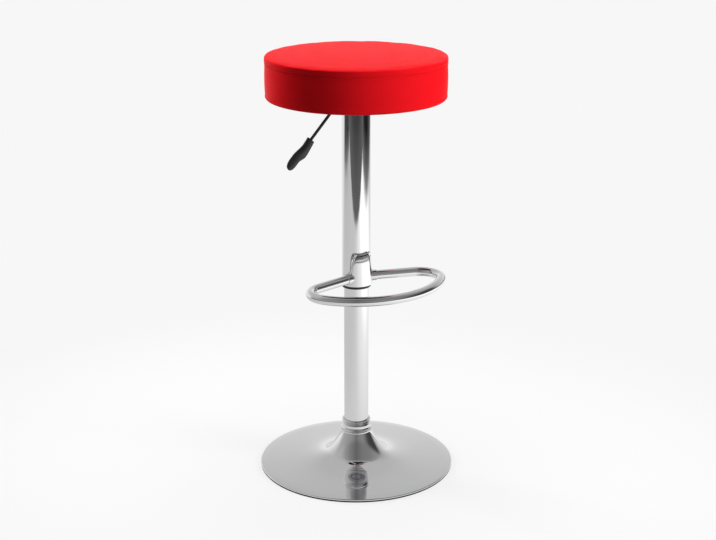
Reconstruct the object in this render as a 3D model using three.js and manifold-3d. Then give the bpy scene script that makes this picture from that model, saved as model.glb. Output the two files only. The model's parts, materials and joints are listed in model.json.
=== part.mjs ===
// A diner counter stool: a trumpet-shaped chrome base, a telescoping column with a gas lift,
// a looped footrest that rises with the seat, a release lever and a round padded seat.
// Millimetres, +Z up. The origin is on the floor under the middle of the column. The footrest
// points towards -Y and the lever towards -X, which is the sitter's right hand.

import * as THREE from "three";
import { mergeVertices } from "three/addons/utils/BufferGeometryUtils.js";
import Module from "manifold-3d";

const wasm = await Module();
wasm.setup();

// Clearances shared by all pieces
const gap = 0.3; // between pieces that touch in the real stool
const slideGap = 0.5; // round a piece that slides or turns
const overrun = 5; // how far a cutter reaches past the material
const mergeDistance = 0.001;

// Number of flat sides that stand for a full circle, by size of the piece
const wideSides = 48;
const tubeSides = 28;
const cylinderSides = 20;
const pinSides = 16;
const boltSides = 12;
const rodSides = 12;
const boreSides = 8;
const ballSides = 6;
const ballRings = 4;

// Number of straight steps that stand for each rounding
const edgeSteps = 2;
const smallRoundSteps = 3;
const flareSteps = 6;
const neckSteps = 4;
const cornerSteps = 7;
const frontSteps = 6;
const bendSteps = 4;

// Base
const baseRadius = 200;
const floorRingThickness = 2.2;
const floorRingWidth = 9;
const floorRingLipWidth = 3.4;
const floorRingLipHeight = 1.2;
const dishWall = 2;
const dishRimSide = 1;
const dishRimRound = 3;
const dishRimSweep = 85; // degrees of the rim's rounding
const dishFlareRadius = 140; // where the skirt starts to rise towards the neck
const dishFlareHeight = 10.4;
const skirtReach = 32; // the skirt's pull on the start of the flare
const skirtLift = 2.3;
const neckFootRadius = 62; // where the flare turns into the neck
const neckFootHeight = 26.5;
const footReach = 14; // the pull below the neck's foot
const footDrop = 11.9;
const neckFootReach = 8.5; // the pull above the neck's foot, in the same direction
const neckFootLift = 7.2;
const neckRadius = 32;
const neckHeight = 73;
const neckReach = 19; // the pull below the neck's mouth
const neckSpread = 6.4;
const socketBottom = 8.6;
const bracePlateRadius = 102;
const bracePlateThickness = 3;
const collarHeight = 24.7;
const collarFlangeRadius = 34;
const collarFlangeHeight = 3.6;
const collarFlareHeight = 7;
const collarWaistRadius = 27.8;
const collarTopRadius = 29.3;
const collarTopRound = 1.5;

// Fixed column with the bearing at its foot
const columnRadius = 25;
const columnWall = 1.5;
const columnBottom = 16;
const columnTop = 500;
const columnTaper = 0.6;
const footPlateThickness = 6;
const raceThickness = 2;
const raceRadius = 18;
const ballRadius = 1.9;
const ballCircleRadius = 12.5;
const ballCount = 8;
const cageThickness = 1.6;
const cageWidth = 6;
const columnBushLength = 30;
const columnBushFlange = 2.5;

// Gas lift
const liftStroke = 210;
const rodRadius = 5;
const rodNeckRadius = 4;
const rodBottom = 8;
const clipRadius = 8;
const clipThickness = 2;
const washerRadius = 10;
const washerThickness = 1.8;
const bufferRadius = 12;
const bufferLength = 22;
const cylinderRadius = 14;
const cylinderWall = 1.6;
const cylinderConeRadius = 13.2;
const cylinderConeLength = 40;
const cylinderShoulderRadius = 8;
const cylinderShoulderHeight = 3;
const cylinderHeadThickness = 16;
const pressureTubeRadius = 11.3;
const pressureTubeWall = 1;
const rodGuideLength = 16;
const pistonLength = 12;
const releasePinRadius = 3;
const releasePinLength = 14;
const releasePinTravel = 3.8;

// Cover tube that slides down over the column
const coverRadius = 28.5;
const coverWall = 1.5;
const coverBottom = 392;
const coverBushLength = 22;
const coverBushFlange = 4;
const coverBushLip = 1; // the flange stands out past the tube
const coverCapLength = 13;
const coverCapFlange = 3.1;

// Footrest
const footrestRise = 18.2; // tube's middle above the lower end of the cover tube
const footrestTubeRadius = 9.5;
const footrestTubeWall = 1.2;
const footrestReach = 172;
const footrestCornerRadius = 42.5;
const footrestArmAcross = 31.5;
const footrestArmOut = 19;
const footrestArmAngle = 15; // degrees
const bracketRise = 2; // bracket's lower edge above the lower end of the cover tube
const bracketHeight = 69;
const bracketThickness = 4.3;
const bracketEdgeThickness = 1;
const bracketEdgeRound = 6;
const bracketTopBevel = 10;
const bracketTopHalfAngle = 38; // degrees
const bracketBottomHalfAngle = 64; // degrees
const earWall = 1.2;
const earLength = 3;
const earRoot = 9;

// Seat
const seatRadius = 180;
const seatBottom = 773.5;
const seatThickness = 83.5; // to the top edge, without the crown
const seatCrown = 4.5;
const seatTopRound = 5;
const seatSeamDrop = 12.5; // seam below the top edge
const seatSeamDepth = 2;
const seatSideDraw = 1.6;
const seatBottomRound = 8;
const coverCloth = 1.2;
const coverTuck = 8; // how far the cover is folded in under the board
const boardInset = 10; // board edge in from the seat's side
const boardThickness = 12;
const foamSkirt = 6;
const dustClothThickness = 0.7;

// Seat plate, housing and bolts
const plateSide = 150;
const plateThickness = 2.5;
const plateCorner = 12;
const boltSpread = 58;
const boltRadius = 3;
const boltHeadRadius = 5.5;
const boltHeadHeight = 4;
const teeNutRadius = 4.4;
const teeNutFlangeRadius = 9;
const teeNutFlangeThickness = 1.2;
const teeNutLength = 9;
const housingLength = 72;
const housingWidth = 50;
const housingHeight = 22;
const housingWall = 2;
const leverSlotWidth = 9;
const leverSlotDrop = 6;
const taperSocketWall = 3.4;
const taperSocketLength = 31;
const ringNutWidth = 5.4;
const ringNutThickness = 5.5;

// Lever
const leverDrop = 8.4; // lever axis below the top of the housing
const leverRadius = 3;
const leverPivotOut = 25;
const leverTipPast = 2.5;
const leverEyeRadius = 6;
const leverEyeLength = 12;
const leverPinRadius = 2.5;
const leverPinHeadRadius = 4;
const leverPinHeadLength = 1.6;
const leverPinProud = 1.6;
const leverElbowOut = 44.4;
const leverElbowRadius = 10;
const leverSlope = 47.4; // degrees below level
const leverToGrip = 84.2;
const leverInGrip = 42;
const gripLength = 73.4;
const gripUpperWidth = 11.4;
const gripLowerWidth = 11.9;
const gripHalfThickness = 7.5;

// Grip outline: places along its length, and how wide each flank and how thick it is there
const gripStationShares = [0, 0.12, 0.25, 0.37, 0.47, 0.56, 0.66, 0.76, 0.86, 0.93, 0.98, 1];
const gripUpperShares = [0.73, 0.64, 0.58, 0.7, 0.85, 0.96, 1, 1, 0.93, 0.76, 0.48, 0.16];
const gripLowerShares = [0.68, 0.74, 0.88, 0.98, 1, 0.74, 0.64, 0.66, 0.64, 0.53, 0.34, 0.1];
const gripThicknessShares = [0.92, 0.96, 1, 1, 0.96, 0.9, 0.84, 0.78, 0.7, 0.58, 0.4, 0.14];

// Rings of the crowned seat top, from its edge to its middle
const crownShares = [0.6, 0];

// Bracket grid lines across and up the plate, closer together near its edges
const bracketAcrossShares = [0, 0.04, 0.11, 0.28, 0.5, 0.72, 0.89, 0.96, 1];
const bracketUpShares = [0, 0.25, 0.5, 0.7, 0.857, 0.93, 1];

const quarterTurn = Math.PI / 2;
const radians = THREE.MathUtils.degToRad;

// Heights and radii that follow from the sizes above
const seatTopEdge = seatBottom + seatThickness;
const seatSeamHeight = seatTopEdge - seatSeamDrop;
const boardRadius = seatRadius - boardInset;
const boardBottom = seatBottom + coverCloth + gap;
const boardTop = boardBottom + boardThickness;
const dustClothBottom = boardBottom - gap - dustClothThickness;
const plateTop = dustClothBottom - gap;
const plateBottom = plateTop - plateThickness;
const housingTop = plateBottom - gap;
const housingBottom = housingTop - housingHeight;
const leverHeight = housingTop - leverDrop;
const releasePinTop = leverHeight - leverRadius - gap;
const cylinderTop = releasePinTop - releasePinTravel - slideGap;
const coverCapTop = housingBottom - gap;
const coverTop = coverCapTop - coverCapFlange - gap;
const ringNutTop = coverTop - coverCapLength - gap;
const footPlateTop = columnBottom + footPlateThickness;
const lowerRaceTop = footPlateTop + gap + raceThickness;
const ballHeight = lowerRaceTop + gap + ballRadius;
const upperRaceBottom = ballHeight + ballRadius + gap;
const upperRaceTop = upperRaceBottom + raceThickness;
const bufferBottom = upperRaceTop + gap;
const bufferTop = bufferBottom + bufferLength;
const cylinderBottom = bufferTop + gap + liftStroke;
const rodGuideTop = cylinderBottom + gap + rodGuideLength;
const pistonBottom = rodGuideTop + slideGap;
const rodTop = pistonBottom + pistonLength + gap;
const washerTop = columnBottom - gap;
const clipTop = washerTop - washerThickness - gap;
const cylinderBore = cylinderRadius - cylinderWall;
const taperSocketTop = housingBottom + housingWall;
const taperSocketBottom = taperSocketTop - taperSocketLength;
const taperSocketRadius = cylinderRadius + gap + taperSocketWall;
const footrestHeight = coverBottom + footrestRise;
const bracketBottom = coverBottom + bracketRise;
const bracketInside = coverRadius + gap;
const socketBore = columnRadius + gap;
const socketRadius = neckRadius - dishWall - gap;

// Finishes
const chrome = { color: 0xd8d8da, metalness: 1, roughness: 0.08 };
const bareSteel = { color: 0x8f9092, metalness: 1, roughness: 0.45 };
const blackSteel = { color: 0x1b1b1c, metalness: 0.6, roughness: 0.5 };
const blackPlastic = { color: 0x151516, metalness: 0, roughness: 0.5 };
const blackRubber = { color: 0x101010, metalness: 0, roughness: 0.9 };
const whitePlastic = { color: 0xdedcd4, metalness: 0, roughness: 0.45 };
const redVinyl = { color: 0xd0101c, metalness: 0, roughness: 0.38 };
const foam = { color: 0xe6dcb8, metalness: 0, roughness: 0.95 };
const plywood = { color: 0xc49a63, metalness: 0, roughness: 0.7 };
const blackCloth = { color: 0x202022, metalness: 0, roughness: 0.95 };

// Shapes

// A closed outline of [radius, height] points, counter-clockwise, turned about Z.
function turned(outline, sides) {
  const points = outline.map(([radius, height]) => new THREE.Vector2(radius, height));
  return new THREE.LatheGeometry(points, sides).rotateX(quarterTurn);
}

function disc(radius, bottom, top, sides) {
  return turned([[0, bottom], [radius, bottom], [radius, top], [0, top]], sides);
}

function ring(inner, outer, bottom, top, sides) {
  const outline = [[inner, bottom], [outer, bottom], [outer, top], [inner, top]];
  return turned([...outline, outline[0]], sides);
}

// Points along a round edge in an outline, between two angles in radians.
function roundEdge(centreRadius, centreHeight, radius, from, to, steps) {
  return Array.from({ length: steps + 1 }, (_, i) => {
    const angle = from + ((to - from) * i) / steps;
    return [centreRadius + radius * Math.cos(angle), centreHeight + radius * Math.sin(angle)];
  });
}

// The same outline moved sideways to its left by a wall thickness.
function offsetLine(points, distance) {
  return points.map((point, i) => {
    const before = points[Math.max(i - 1, 0)];
    const after = points[Math.min(i + 1, points.length - 1)];
    const along = new THREE.Vector2(after[0] - before[0], after[1] - before[1]).normalize();
    return [point[0] - along.y * distance, point[1] + along.x * distance];
  });
}

// A route given by its stations, so that a swept tube has one ring of points at each.
class Route extends THREE.Curve {
  constructor(stations) {
    super();
    this.stations = stations;
  }
  getPoint(share) {
    const place = share * (this.stations.length - 1);
    const before = Math.min(Math.floor(place), this.stations.length - 2);
    const from = this.stations[before];
    return from.clone().lerp(this.stations[before + 1], place - before);
  }
  getPointAt(share) {
    return this.getPoint(share);
  }
  getTangentAt(share) {
    const last = this.stations.length - 1;
    const place = Math.round(share * last);
    const ahead = this.stations[Math.min(place + 1, last)];
    const behind = this.stations[Math.max(place - 1, 0)];
    return ahead.clone().sub(behind).normalize();
  }
}

function sweptRod(stations, radius, sides) {
  const section = new THREE.Shape().absarc(0, 0, radius, 0, 2 * Math.PI, false);
  return new THREE.ExtrudeGeometry(section, {
    steps: stations.length - 1,
    curveSegments: sides / 2,
    bevelEnabled: false,
    extrudePath: new Route(stations),
  });
}

// Points on a circular arc between two angles about a centre; placed() puts each one in space.
function arcStations(centre, radius, from, to, steps, placed) {
  return Array.from({ length: steps + 1 }, (_, i) => {
    const angle = from + ((to - from) * i) / steps;
    return placed(centre[0] + radius * Math.cos(angle), centre[1] + radius * Math.sin(angle));
  });
}

// A closed skin through rings of points that share a count; the end rings are capped.
function skinned(rings) {
  const positions = [];
  const addTriangle = (a, b, c) => positions.push(...a.toArray(), ...b.toArray(), ...c.toArray());
  const count = rings[0].length;
  for (let i = 0; i < rings.length - 1; i++) {
    for (let j = 0; j < count; j++) {
      const k = (j + 1) % count;
      addTriangle(rings[i][j], rings[i][k], rings[i + 1][k]);
      addTriangle(rings[i][j], rings[i + 1][k], rings[i + 1][j]);
    }
  }
  const first = rings[0];
  const last = rings[rings.length - 1];
  for (let j = 1; j < count - 1; j++) {
    addTriangle(first[0], first[j + 1], first[j]);
    addTriangle(last[0], last[j], last[j + 1]);
  }
  const geometry = new THREE.BufferGeometry();
  return geometry.setAttribute("position", new THREE.Float32BufferAttribute(positions, 3));
}

function post(radius, bottom, top, x, y, sides) {
  return disc(radius, bottom, top, sides).translate(x, y, 0);
}

function crossRod(radius, from, to, x, z, sides) {
  const rod = new THREE.CylinderGeometry(radius, radius, to - from, sides);
  return rod.translate(x, (from + to) / 2, z);
}

// Joining and cutting

function solidOf(geometry) {
  const flat = geometry.index ? geometry.toNonIndexed() : geometry;
  const bare = new THREE.BufferGeometry().setAttribute("position", flat.getAttribute("position"));
  const merged = mergeVertices(bare, mergeDistance);
  const mesh = new wasm.Mesh({
    numProp: 3,
    vertProperties: merged.attributes.position.array,
    triVerts: new Uint32Array(merged.index.array),
  });
  return new wasm.Manifold(mesh);
}

function geometryOf(solid) {
  const mesh = solid.getMesh();
  const geometry = new THREE.BufferGeometry();
  geometry.setAttribute("position", new THREE.BufferAttribute(mesh.vertProperties, 3));
  geometry.setIndex(new THREE.BufferAttribute(mesh.triVerts, 1));
  geometry.computeVertexNormals();
  return geometry;
}

function joined(...pieces) {
  return geometryOf(pieces.map(solidOf).reduce((whole, piece) => whole.add(piece)));
}

function cut(piece, ...cutters) {
  return geometryOf(cutters.map(solidOf).reduce((left, cutter) => left.subtract(cutter), solidOf(piece)));
}

const stool = new THREE.Group();

function addPiece(name, geometry, finish) {
  const mesh = new THREE.Mesh(geometry, new THREE.MeshStandardMaterial(finish));
  mesh.name = name;
  stool.add(mesh);
}

// Base pieces

// The visible line of the dish, from the rim on the floor ring up to the mouth of the neck.
function dishOutside() {
  const rimBottom = floorRingThickness + gap;
  const roundCentre = rimBottom + dishRimSide;
  const rimSweep = radians(dishRimSweep);
  const rim = roundEdge(baseRadius - dishRimRound, roundCentre, dishRimRound, 0, rimSweep, edgeSteps);
  const foot = new THREE.Vector2(neckFootRadius, neckFootHeight);
  const flare = new THREE.CubicBezierCurve(
    new THREE.Vector2(dishFlareRadius, dishFlareHeight),
    new THREE.Vector2(dishFlareRadius - skirtReach, dishFlareHeight + skirtLift),
    new THREE.Vector2(neckFootRadius + footReach, neckFootHeight - footDrop),
    foot,
  );
  const neck = new THREE.CubicBezierCurve(
    foot,
    new THREE.Vector2(neckFootRadius - neckFootReach, neckFootHeight + neckFootLift),
    new THREE.Vector2(neckRadius + neckSpread, neckHeight - neckReach),
    new THREE.Vector2(neckRadius, neckHeight),
  );
  const curves = [...flare.getPoints(flareSteps), ...neck.getPoints(neckSteps).slice(1)];
  return [[baseRadius, rimBottom], ...rim, ...curves.map((point) => [point.x, point.y])];
}

function baseDish() {
  const outside = dishOutside();
  const inside = offsetLine(outside, dishWall).reverse();
  return turned([...outside, ...inside, outside[0]], wideSides);
}

// A flat ring on the floor with a lip that keeps it inside the rim.
function baseFloorRing() {
  const outer = baseRadius - gap;
  const inner = outer - floorRingWidth;
  const lipOuter = baseRadius - dishWall - gap;
  const lipInner = lipOuter - floorRingLipWidth;
  const lipTop = floorRingThickness + floorRingLipHeight;
  const outline = [
    [inner, 0],
    [outer, 0],
    [outer, floorRingThickness],
    [lipOuter, floorRingThickness],
    [lipOuter, lipTop],
    [lipInner, lipTop],
    [lipInner, floorRingThickness],
    [inner, floorRingThickness],
  ];
  return turned([...outline, outline[0]], wideSides);
}

// The tapered receiver that grips the foot of the column.
function baseSocket() {
  const top = neckHeight - gap;
  const outline = [
    [socketBore - columnTaper, socketBottom],
    [socketRadius, socketBottom],
    [socketRadius, top],
    [socketBore, top],
  ];
  return turned([...outline, outline[0]], tubeSides);
}

function basePlate() {
  const top = socketBottom + bracePlateThickness;
  return ring(socketRadius + gap, bracePlateRadius, socketBottom, top, tubeSides);
}

// A trim collar: a flange that covers the joint with the neck, and a hollow flare up to its waist.
function baseCollar() {
  const bottom = neckHeight + gap;
  const top = bottom + collarHeight;
  const flangeTop = bottom + collarFlangeHeight;
  const flare = new THREE.QuadraticBezierCurve(
    new THREE.Vector2(collarFlangeRadius - collarTopRound, flangeTop),
    new THREE.Vector2(collarWaistRadius, flangeTop),
    new THREE.Vector2(collarWaistRadius, flangeTop + collarFlareHeight),
  );
  const flarePoints = flare.getPoints(bendSteps).map((point) => [point.x, point.y]);
  const roundRadius = collarTopRadius - collarTopRound;
  const topRound = roundEdge(roundRadius, top - collarTopRound, collarTopRound, 0, quarterTurn, edgeSteps);
  const outline = [
    [socketBore, bottom],
    [collarFlangeRadius, bottom],
    [collarFlangeRadius, flangeTop - collarTopRound],
    ...flarePoints,
    ...topRound,
    [socketBore, top],
  ];
  return turned([...outline, outline[0]], tubeSides);
}

// Column pieces

function columnTube() {
  const inner = columnRadius - columnWall;
  const outline = [
    [inner - columnTaper, columnBottom],
    [columnRadius - columnTaper, columnBottom],
    [columnRadius, neckHeight],
    [columnRadius, columnTop],
    [inner, columnTop],
    [inner, neckHeight],
  ];
  return turned([...outline, outline[0]], tubeSides);
}

function columnFootPlate() {
  const radius = columnRadius - columnWall - columnTaper - gap;
  return ring(rodNeckRadius + slideGap, radius, columnBottom, footPlateTop, cylinderSides);
}

function bearingRace(bottom) {
  return ring(rodNeckRadius + slideGap, raceRadius, bottom, bottom + raceThickness, cylinderSides);
}

// The cage and its balls turn together, so they are one piece.
function bearingBalls() {
  const half = cageWidth / 2;
  const cage = ring(
    ballCircleRadius - half,
    ballCircleRadius + half,
    ballHeight - cageThickness / 2,
    ballHeight + cageThickness / 2,
    cylinderSides,
  );
  const balls = Array.from({ length: ballCount }, (_, i) => {
    const angle = (2 * Math.PI * i) / ballCount;
    const ball = new THREE.SphereGeometry(ballRadius, ballSides, ballRings).rotateX(quarterTurn);
    const x = ballCircleRadius * Math.cos(angle);
    return ball.translate(x, ballCircleRadius * Math.sin(angle), ballHeight);
  });
  return joined(cage, ...balls);
}

function columnBush() {
  const inner = cylinderRadius + slideGap;
  const sleeve = columnRadius - columnWall - gap;
  const flangeBottom = columnTop + gap;
  const outline = [
    [inner, columnTop - columnBushLength],
    [sleeve, columnTop - columnBushLength],
    [sleeve, flangeBottom],
    [columnRadius - gap, flangeBottom],
    [columnRadius - gap, flangeBottom + columnBushFlange],
    [inner, flangeBottom + columnBushFlange],
  ];
  return turned([...outline, outline[0]], tubeSides);
}

// Gas lift pieces

function pistonRod() {
  const outline = [
    [0, rodBottom],
    [rodNeckRadius, rodBottom],
    [rodNeckRadius, upperRaceTop + gap],
    [rodRadius, upperRaceTop + gap],
    [rodRadius, rodTop],
    [0, rodTop],
  ];
  return turned(outline, pinSides);
}

function piston() {
  const radius = pressureTubeRadius - pressureTubeWall - gap;
  return ring(rodRadius + gap, radius, pistonBottom, pistonBottom + pistonLength, cylinderSides);
}

function rodBuffer() {
  return ring(rodRadius + gap, bufferRadius, bufferBottom, bufferTop, cylinderSides);
}

function rodWasher() {
  const bottom = washerTop - washerThickness;
  return ring(rodNeckRadius + gap, washerRadius, bottom, washerTop, pinSides);
}

function rodClip() {
  return ring(rodNeckRadius + gap, clipRadius, clipTop - clipThickness, clipTop, pinSides);
}

// The outer cylinder, open below and closed above by the head that the release pin runs in.
function gasCylinder() {
  const shoulderBottom = cylinderTop - cylinderShoulderHeight;
  const pinBore = releasePinRadius + slideGap;
  const boreTop = cylinderTop - cylinderHeadThickness;
  const outline = [
    [cylinderBore, cylinderBottom],
    [cylinderRadius, cylinderBottom],
    [cylinderRadius, shoulderBottom - cylinderConeLength],
    [cylinderConeRadius, shoulderBottom],
    [cylinderShoulderRadius, shoulderBottom],
    [cylinderShoulderRadius, cylinderTop],
    [pinBore, cylinderTop],
    [pinBore, boreTop],
    [cylinderBore, boreTop],
  ];
  return turned([...outline, outline[0]], cylinderSides);
}

function pressureTube() {
  const bottom = rodGuideTop + gap;
  const top = cylinderTop - cylinderHeadThickness - gap;
  return ring(pressureTubeRadius - pressureTubeWall, pressureTubeRadius, bottom, top, cylinderSides);
}

function rodGuide() {
  const bottom = cylinderBottom + gap;
  return ring(rodRadius + slideGap, cylinderBore - gap, bottom, rodGuideTop, cylinderSides);
}

// A pin with a domed top, which the lever's tip pushes down.
function releasePin() {
  const domeCentre = releasePinTop - releasePinRadius;
  const dome = roundEdge(0, domeCentre, releasePinRadius, 0, quarterTurn, smallRoundSteps);
  const bottom = releasePinTop - releasePinLength;
  return turned([[0, bottom], [releasePinRadius, bottom], ...dome], pinSides);
}

// Cover tube pieces

function coverTube() {
  return ring(coverRadius - coverWall, coverRadius, coverBottom, coverTop, tubeSides);
}

// The dark guide bush whose flange shows as a line under the cover tube.
function coverBush() {
  const inner = columnRadius + slideGap;
  const sleeve = coverRadius - coverWall - gap;
  const flangeTop = coverBottom - gap;
  const outline = [
    [inner, flangeTop - coverBushFlange],
    [coverRadius + coverBushLip, flangeTop - coverBushFlange],
    [coverRadius + coverBushLip, flangeTop],
    [sleeve, flangeTop],
    [sleeve, coverBottom + coverBushLength],
    [inner, coverBottom + coverBushLength],
  ];
  return turned([...outline, outline[0]], tubeSides);
}

function coverCap() {
  const inner = taperSocketRadius + gap;
  const plug = coverRadius - coverWall - gap;
  const flangeBottom = coverTop + gap;
  const outline = [
    [inner, coverTop - coverCapLength],
    [plug, coverTop - coverCapLength],
    [plug, flangeBottom],
    [coverRadius, flangeBottom],
    [coverRadius, coverCapTop],
    [inner, coverCapTop],
  ];
  return turned([...outline, outline[0]], tubeSides);
}

function coverRingNut() {
  const inner = taperSocketRadius + gap;
  return ring(inner, inner + ringNutWidth, ringNutTop - ringNutThickness, ringNutTop, cylinderSides);
}

// Footrest pieces

const armAngle = radians(footrestArmAngle);
const armDirection = new THREE.Vector3(Math.cos(armAngle), -Math.sin(armAngle), 0);
const armStart = new THREE.Vector3(footrestArmAcross, -footrestArmOut, footrestHeight);

// Half of the loop: a straight arm, a corner that is tangent to the arm and to the front, and the
// front arc about the column. The corner's centre is one corner radius from the arm's line, and
// one corner radius inside the front circle.
function footrestHalf() {
  const inward = new THREE.Vector3(-Math.sin(armAngle), -Math.cos(armAngle), 0);
  const offset = armStart.clone().setZ(0).addScaledVector(inward, footrestCornerRadius);
  const reach = footrestReach - footrestCornerRadius;
  const projection = offset.dot(armDirection);
  const along = -projection + Math.sqrt(projection ** 2 - offset.lengthSq() + reach ** 2);
  const centre = offset.addScaledVector(armDirection, along);
  const cornerStart = quarterTurn - armAngle;
  const cornerEnd = Math.atan2(centre.y, centre.x);
  const placed = (x, y) => new THREE.Vector3(x, y, footrestHeight);
  const middle = [centre.x, centre.y];
  const corner = arcStations(middle, footrestCornerRadius, cornerStart, cornerEnd, cornerSteps, placed);
  const front = arcStations([0, 0], footrestReach, cornerEnd, -quarterTurn, frontSteps, placed);
  return [armStart, ...corner, ...front.slice(1)];
}

function mirroredAcross(point) {
  return new THREE.Vector3(-point.x, point.y, point.z);
}

function footrestLoop() {
  const half = footrestHalf();
  return [...half, ...half.slice(0, -1).reverse().map(mirroredAcross)];
}

function footrestRing() {
  const loop = footrestLoop();
  const last = loop.length - 1;
  const bore = [...loop];
  bore[0] = loop[0].clone().addScaledVector(armDirection, -overrun);
  bore[last] = mirroredAcross(bore[0]);
  const tube = sweptRod(loop, footrestTubeRadius, rodSides);
  return cut(tube, sweptRod(bore, footrestTubeRadius - footrestTubeWall, boreSides));
}

// A short cylinder along one arm of the footrest, between two distances from the arm's start.
function armCylinder(radius, from, to) {
  const cylinder = new THREE.CylinderGeometry(radius, radius, to - from, pinSides);
  cylinder.rotateZ(-quarterTurn - armAngle);
  const middle = armStart.clone().addScaledVector(armDirection, (from + to) / 2);
  return cylinder.translate(middle.x, middle.y, middle.z);
}

function mirrored(geometry) {
  const turnedRound = geometry.clone().toNonIndexed().scale(-1, 1, 1);
  const position = turnedRound.getAttribute("position");
  const swapped = [];
  for (let i = 0; i < position.count; i += 3) {
    for (const corner of [i, i + 2, i + 1]) {
      swapped.push(position.getX(corner), position.getY(corner), position.getZ(corner));
    }
  }
  const result = new THREE.BufferGeometry();
  return result.setAttribute("position", new THREE.Float32BufferAttribute(swapped, 3));
}

// How far the saddle plate stands off the cover tube at a place across and up its face.
function bracketStandoff(across, up, halfAngle) {
  const fromSide = (1 - Math.abs(2 * across - 1)) * radians(halfAngle) * coverRadius;
  const fromTop = (1 - up) * bracketHeight;
  const side = Math.min(fromSide / bracketEdgeRound, 1);
  const top = Math.min(fromTop / bracketTopBevel, 1);
  const fullness = Math.sqrt(side * (2 - side)) * top;
  return bracketEdgeThickness + (bracketThickness - bracketEdgeThickness) * fullness;
}

function bracketPoint(across, up, standoff) {
  const halfAngle = THREE.MathUtils.lerp(bracketBottomHalfAngle, bracketTopHalfAngle, up);
  const angle = radians((2 * across - 1) * halfAngle);
  const radius = bracketInside + standoff(across, up, halfAngle);
  const height = bracketBottom + up * bracketHeight;
  return new THREE.Vector3(radius * Math.sin(angle), -radius * Math.cos(angle), height);
}

// The saddle plate: each ring of points runs along its outer face and back along its inner face.
function bracketSaddle() {
  const rings = bracketUpShares.map((up) => {
    const outer = bracketAcrossShares.map((across) => bracketPoint(across, up, bracketStandoff));
    const inner = bracketAcrossShares.map((across) => bracketPoint(across, up, () => 0));
    return [...outer, ...inner.reverse()];
  });
  return skinned(rings);
}

function footrestBracket() {
  const boreRadius = footrestTubeRadius + gap;
  const ear = armCylinder(boreRadius + earWall, -earRoot, earLength);
  const bore = armCylinder(boreRadius, -gap, earLength + overrun);
  const bracketTop = bracketBottom + bracketHeight;
  const inside = disc(bracketInside, bracketBottom - overrun, bracketTop + overrun, tubeSides);
  return cut(joined(bracketSaddle(), ear, mirrored(ear)), bore, mirrored(bore), inside);
}

// Seat pieces

// The line of the upholstery from the side, over the seam, to the middle of the crowned top.
function seatSideAndTop(inset) {
  const radius = seatRadius - inset;
  const topRound = seatTopRound - inset;
  const topCentre = seatTopEdge - seatTopRound;
  const flatRadius = radius - topRound;
  const crown = crownShares.map((share) => [
    flatRadius * share,
    topCentre + topRound + seatCrown * (1 - share ** 2),
  ]);
  return [
    [radius - seatSideDraw / 2, seatSeamHeight - 2 * seatSeamDepth],
    [radius - seatSeamDepth, seatSeamHeight],
    [radius, seatSeamHeight + seatSeamDepth],
    ...roundEdge(flatRadius, topCentre, topRound, 0, quarterTurn, edgeSteps),
    ...crown,
  ];
}

// The whole outer line, which starts where the cover turns under the board.
function seatOutside(inset) {
  const bottomRound = seatBottomRound - inset;
  const roundRadius = seatRadius - inset - seatSideDraw - bottomRound;
  const roundCentre = seatBottom + seatBottomRound;
  const bottom = roundEdge(roundRadius, roundCentre, bottomRound, -quarterTurn, 0, edgeSteps);
  return [...bottom, ...seatSideAndTop(inset)];
}

// The sewn cover: a skin one cloth thick, tucked in under the edge of the board.
function seatCover() {
  const outside = seatOutside(0);
  const inside = seatOutside(coverCloth).reverse();
  const tuckRadius = boardRadius - coverTuck;
  const outline = [
    [tuckRadius, seatBottom],
    ...outside,
    ...inside,
    [tuckRadius, seatBottom + coverCloth],
  ];
  return turned([...outline, outline[0]], wideSides);
}

function seatFoam() {
  const skirtBottom = boardTop - foamSkirt;
  const sideRadius = seatRadius - coverCloth - gap - seatSideDraw;
  const outline = [
    [0, boardTop + gap],
    [boardRadius + gap, boardTop + gap],
    [boardRadius + gap, skirtBottom],
    [sideRadius, skirtBottom],
    ...seatSideAndTop(coverCloth + gap),
  ];
  return turned(outline, wideSides);
}

const boltPlaces = [[1, 1], [-1, 1], [-1, -1], [1, -1]].map(([x, y]) => [x * boltSpread, y * boltSpread]);

function boltHoles(radius, bottom, top) {
  return boltPlaces.map(([x, y]) => post(radius, bottom, top, x, y, boltSides));
}

function seatBoard() {
  const holes = boltHoles(teeNutRadius + gap, boardBottom - overrun, boardTop + overrun);
  const recessBottom = boardTop - teeNutFlangeThickness - gap;
  const recesses = boltHoles(teeNutFlangeRadius + gap, recessBottom, boardTop + overrun);
  return cut(disc(boardRadius, boardBottom, boardTop, wideSides), ...holes, ...recesses);
}

function seatDustCloth() {
  const radius = boardRadius - coverTuck - gap;
  const top = dustClothBottom + dustClothThickness;
  const holes = boltHoles(boltRadius + gap, dustClothBottom - overrun, top + overrun);
  return cut(disc(radius, dustClothBottom, top, wideSides), ...holes);
}

function seatPlate() {
  const half = plateSide / 2;
  const edge = half - plateCorner;
  const outline = new THREE.Shape()
    .absarc(edge, edge, plateCorner, 0, quarterTurn, false)
    .absarc(-edge, edge, plateCorner, quarterTurn, 2 * quarterTurn, false)
    .absarc(-edge, -edge, plateCorner, 2 * quarterTurn, 3 * quarterTurn, false)
    .absarc(edge, -edge, plateCorner, 3 * quarterTurn, 4 * quarterTurn, false);
  const plate = new THREE.ExtrudeGeometry(outline, {
    depth: plateThickness,
    curveSegments: smallRoundSteps,
    bevelEnabled: false,
  });
  plate.translate(0, 0, plateBottom);
  return cut(plate, ...boltHoles(boltRadius + gap, plateBottom - overrun, plateTop + overrun));
}

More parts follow.
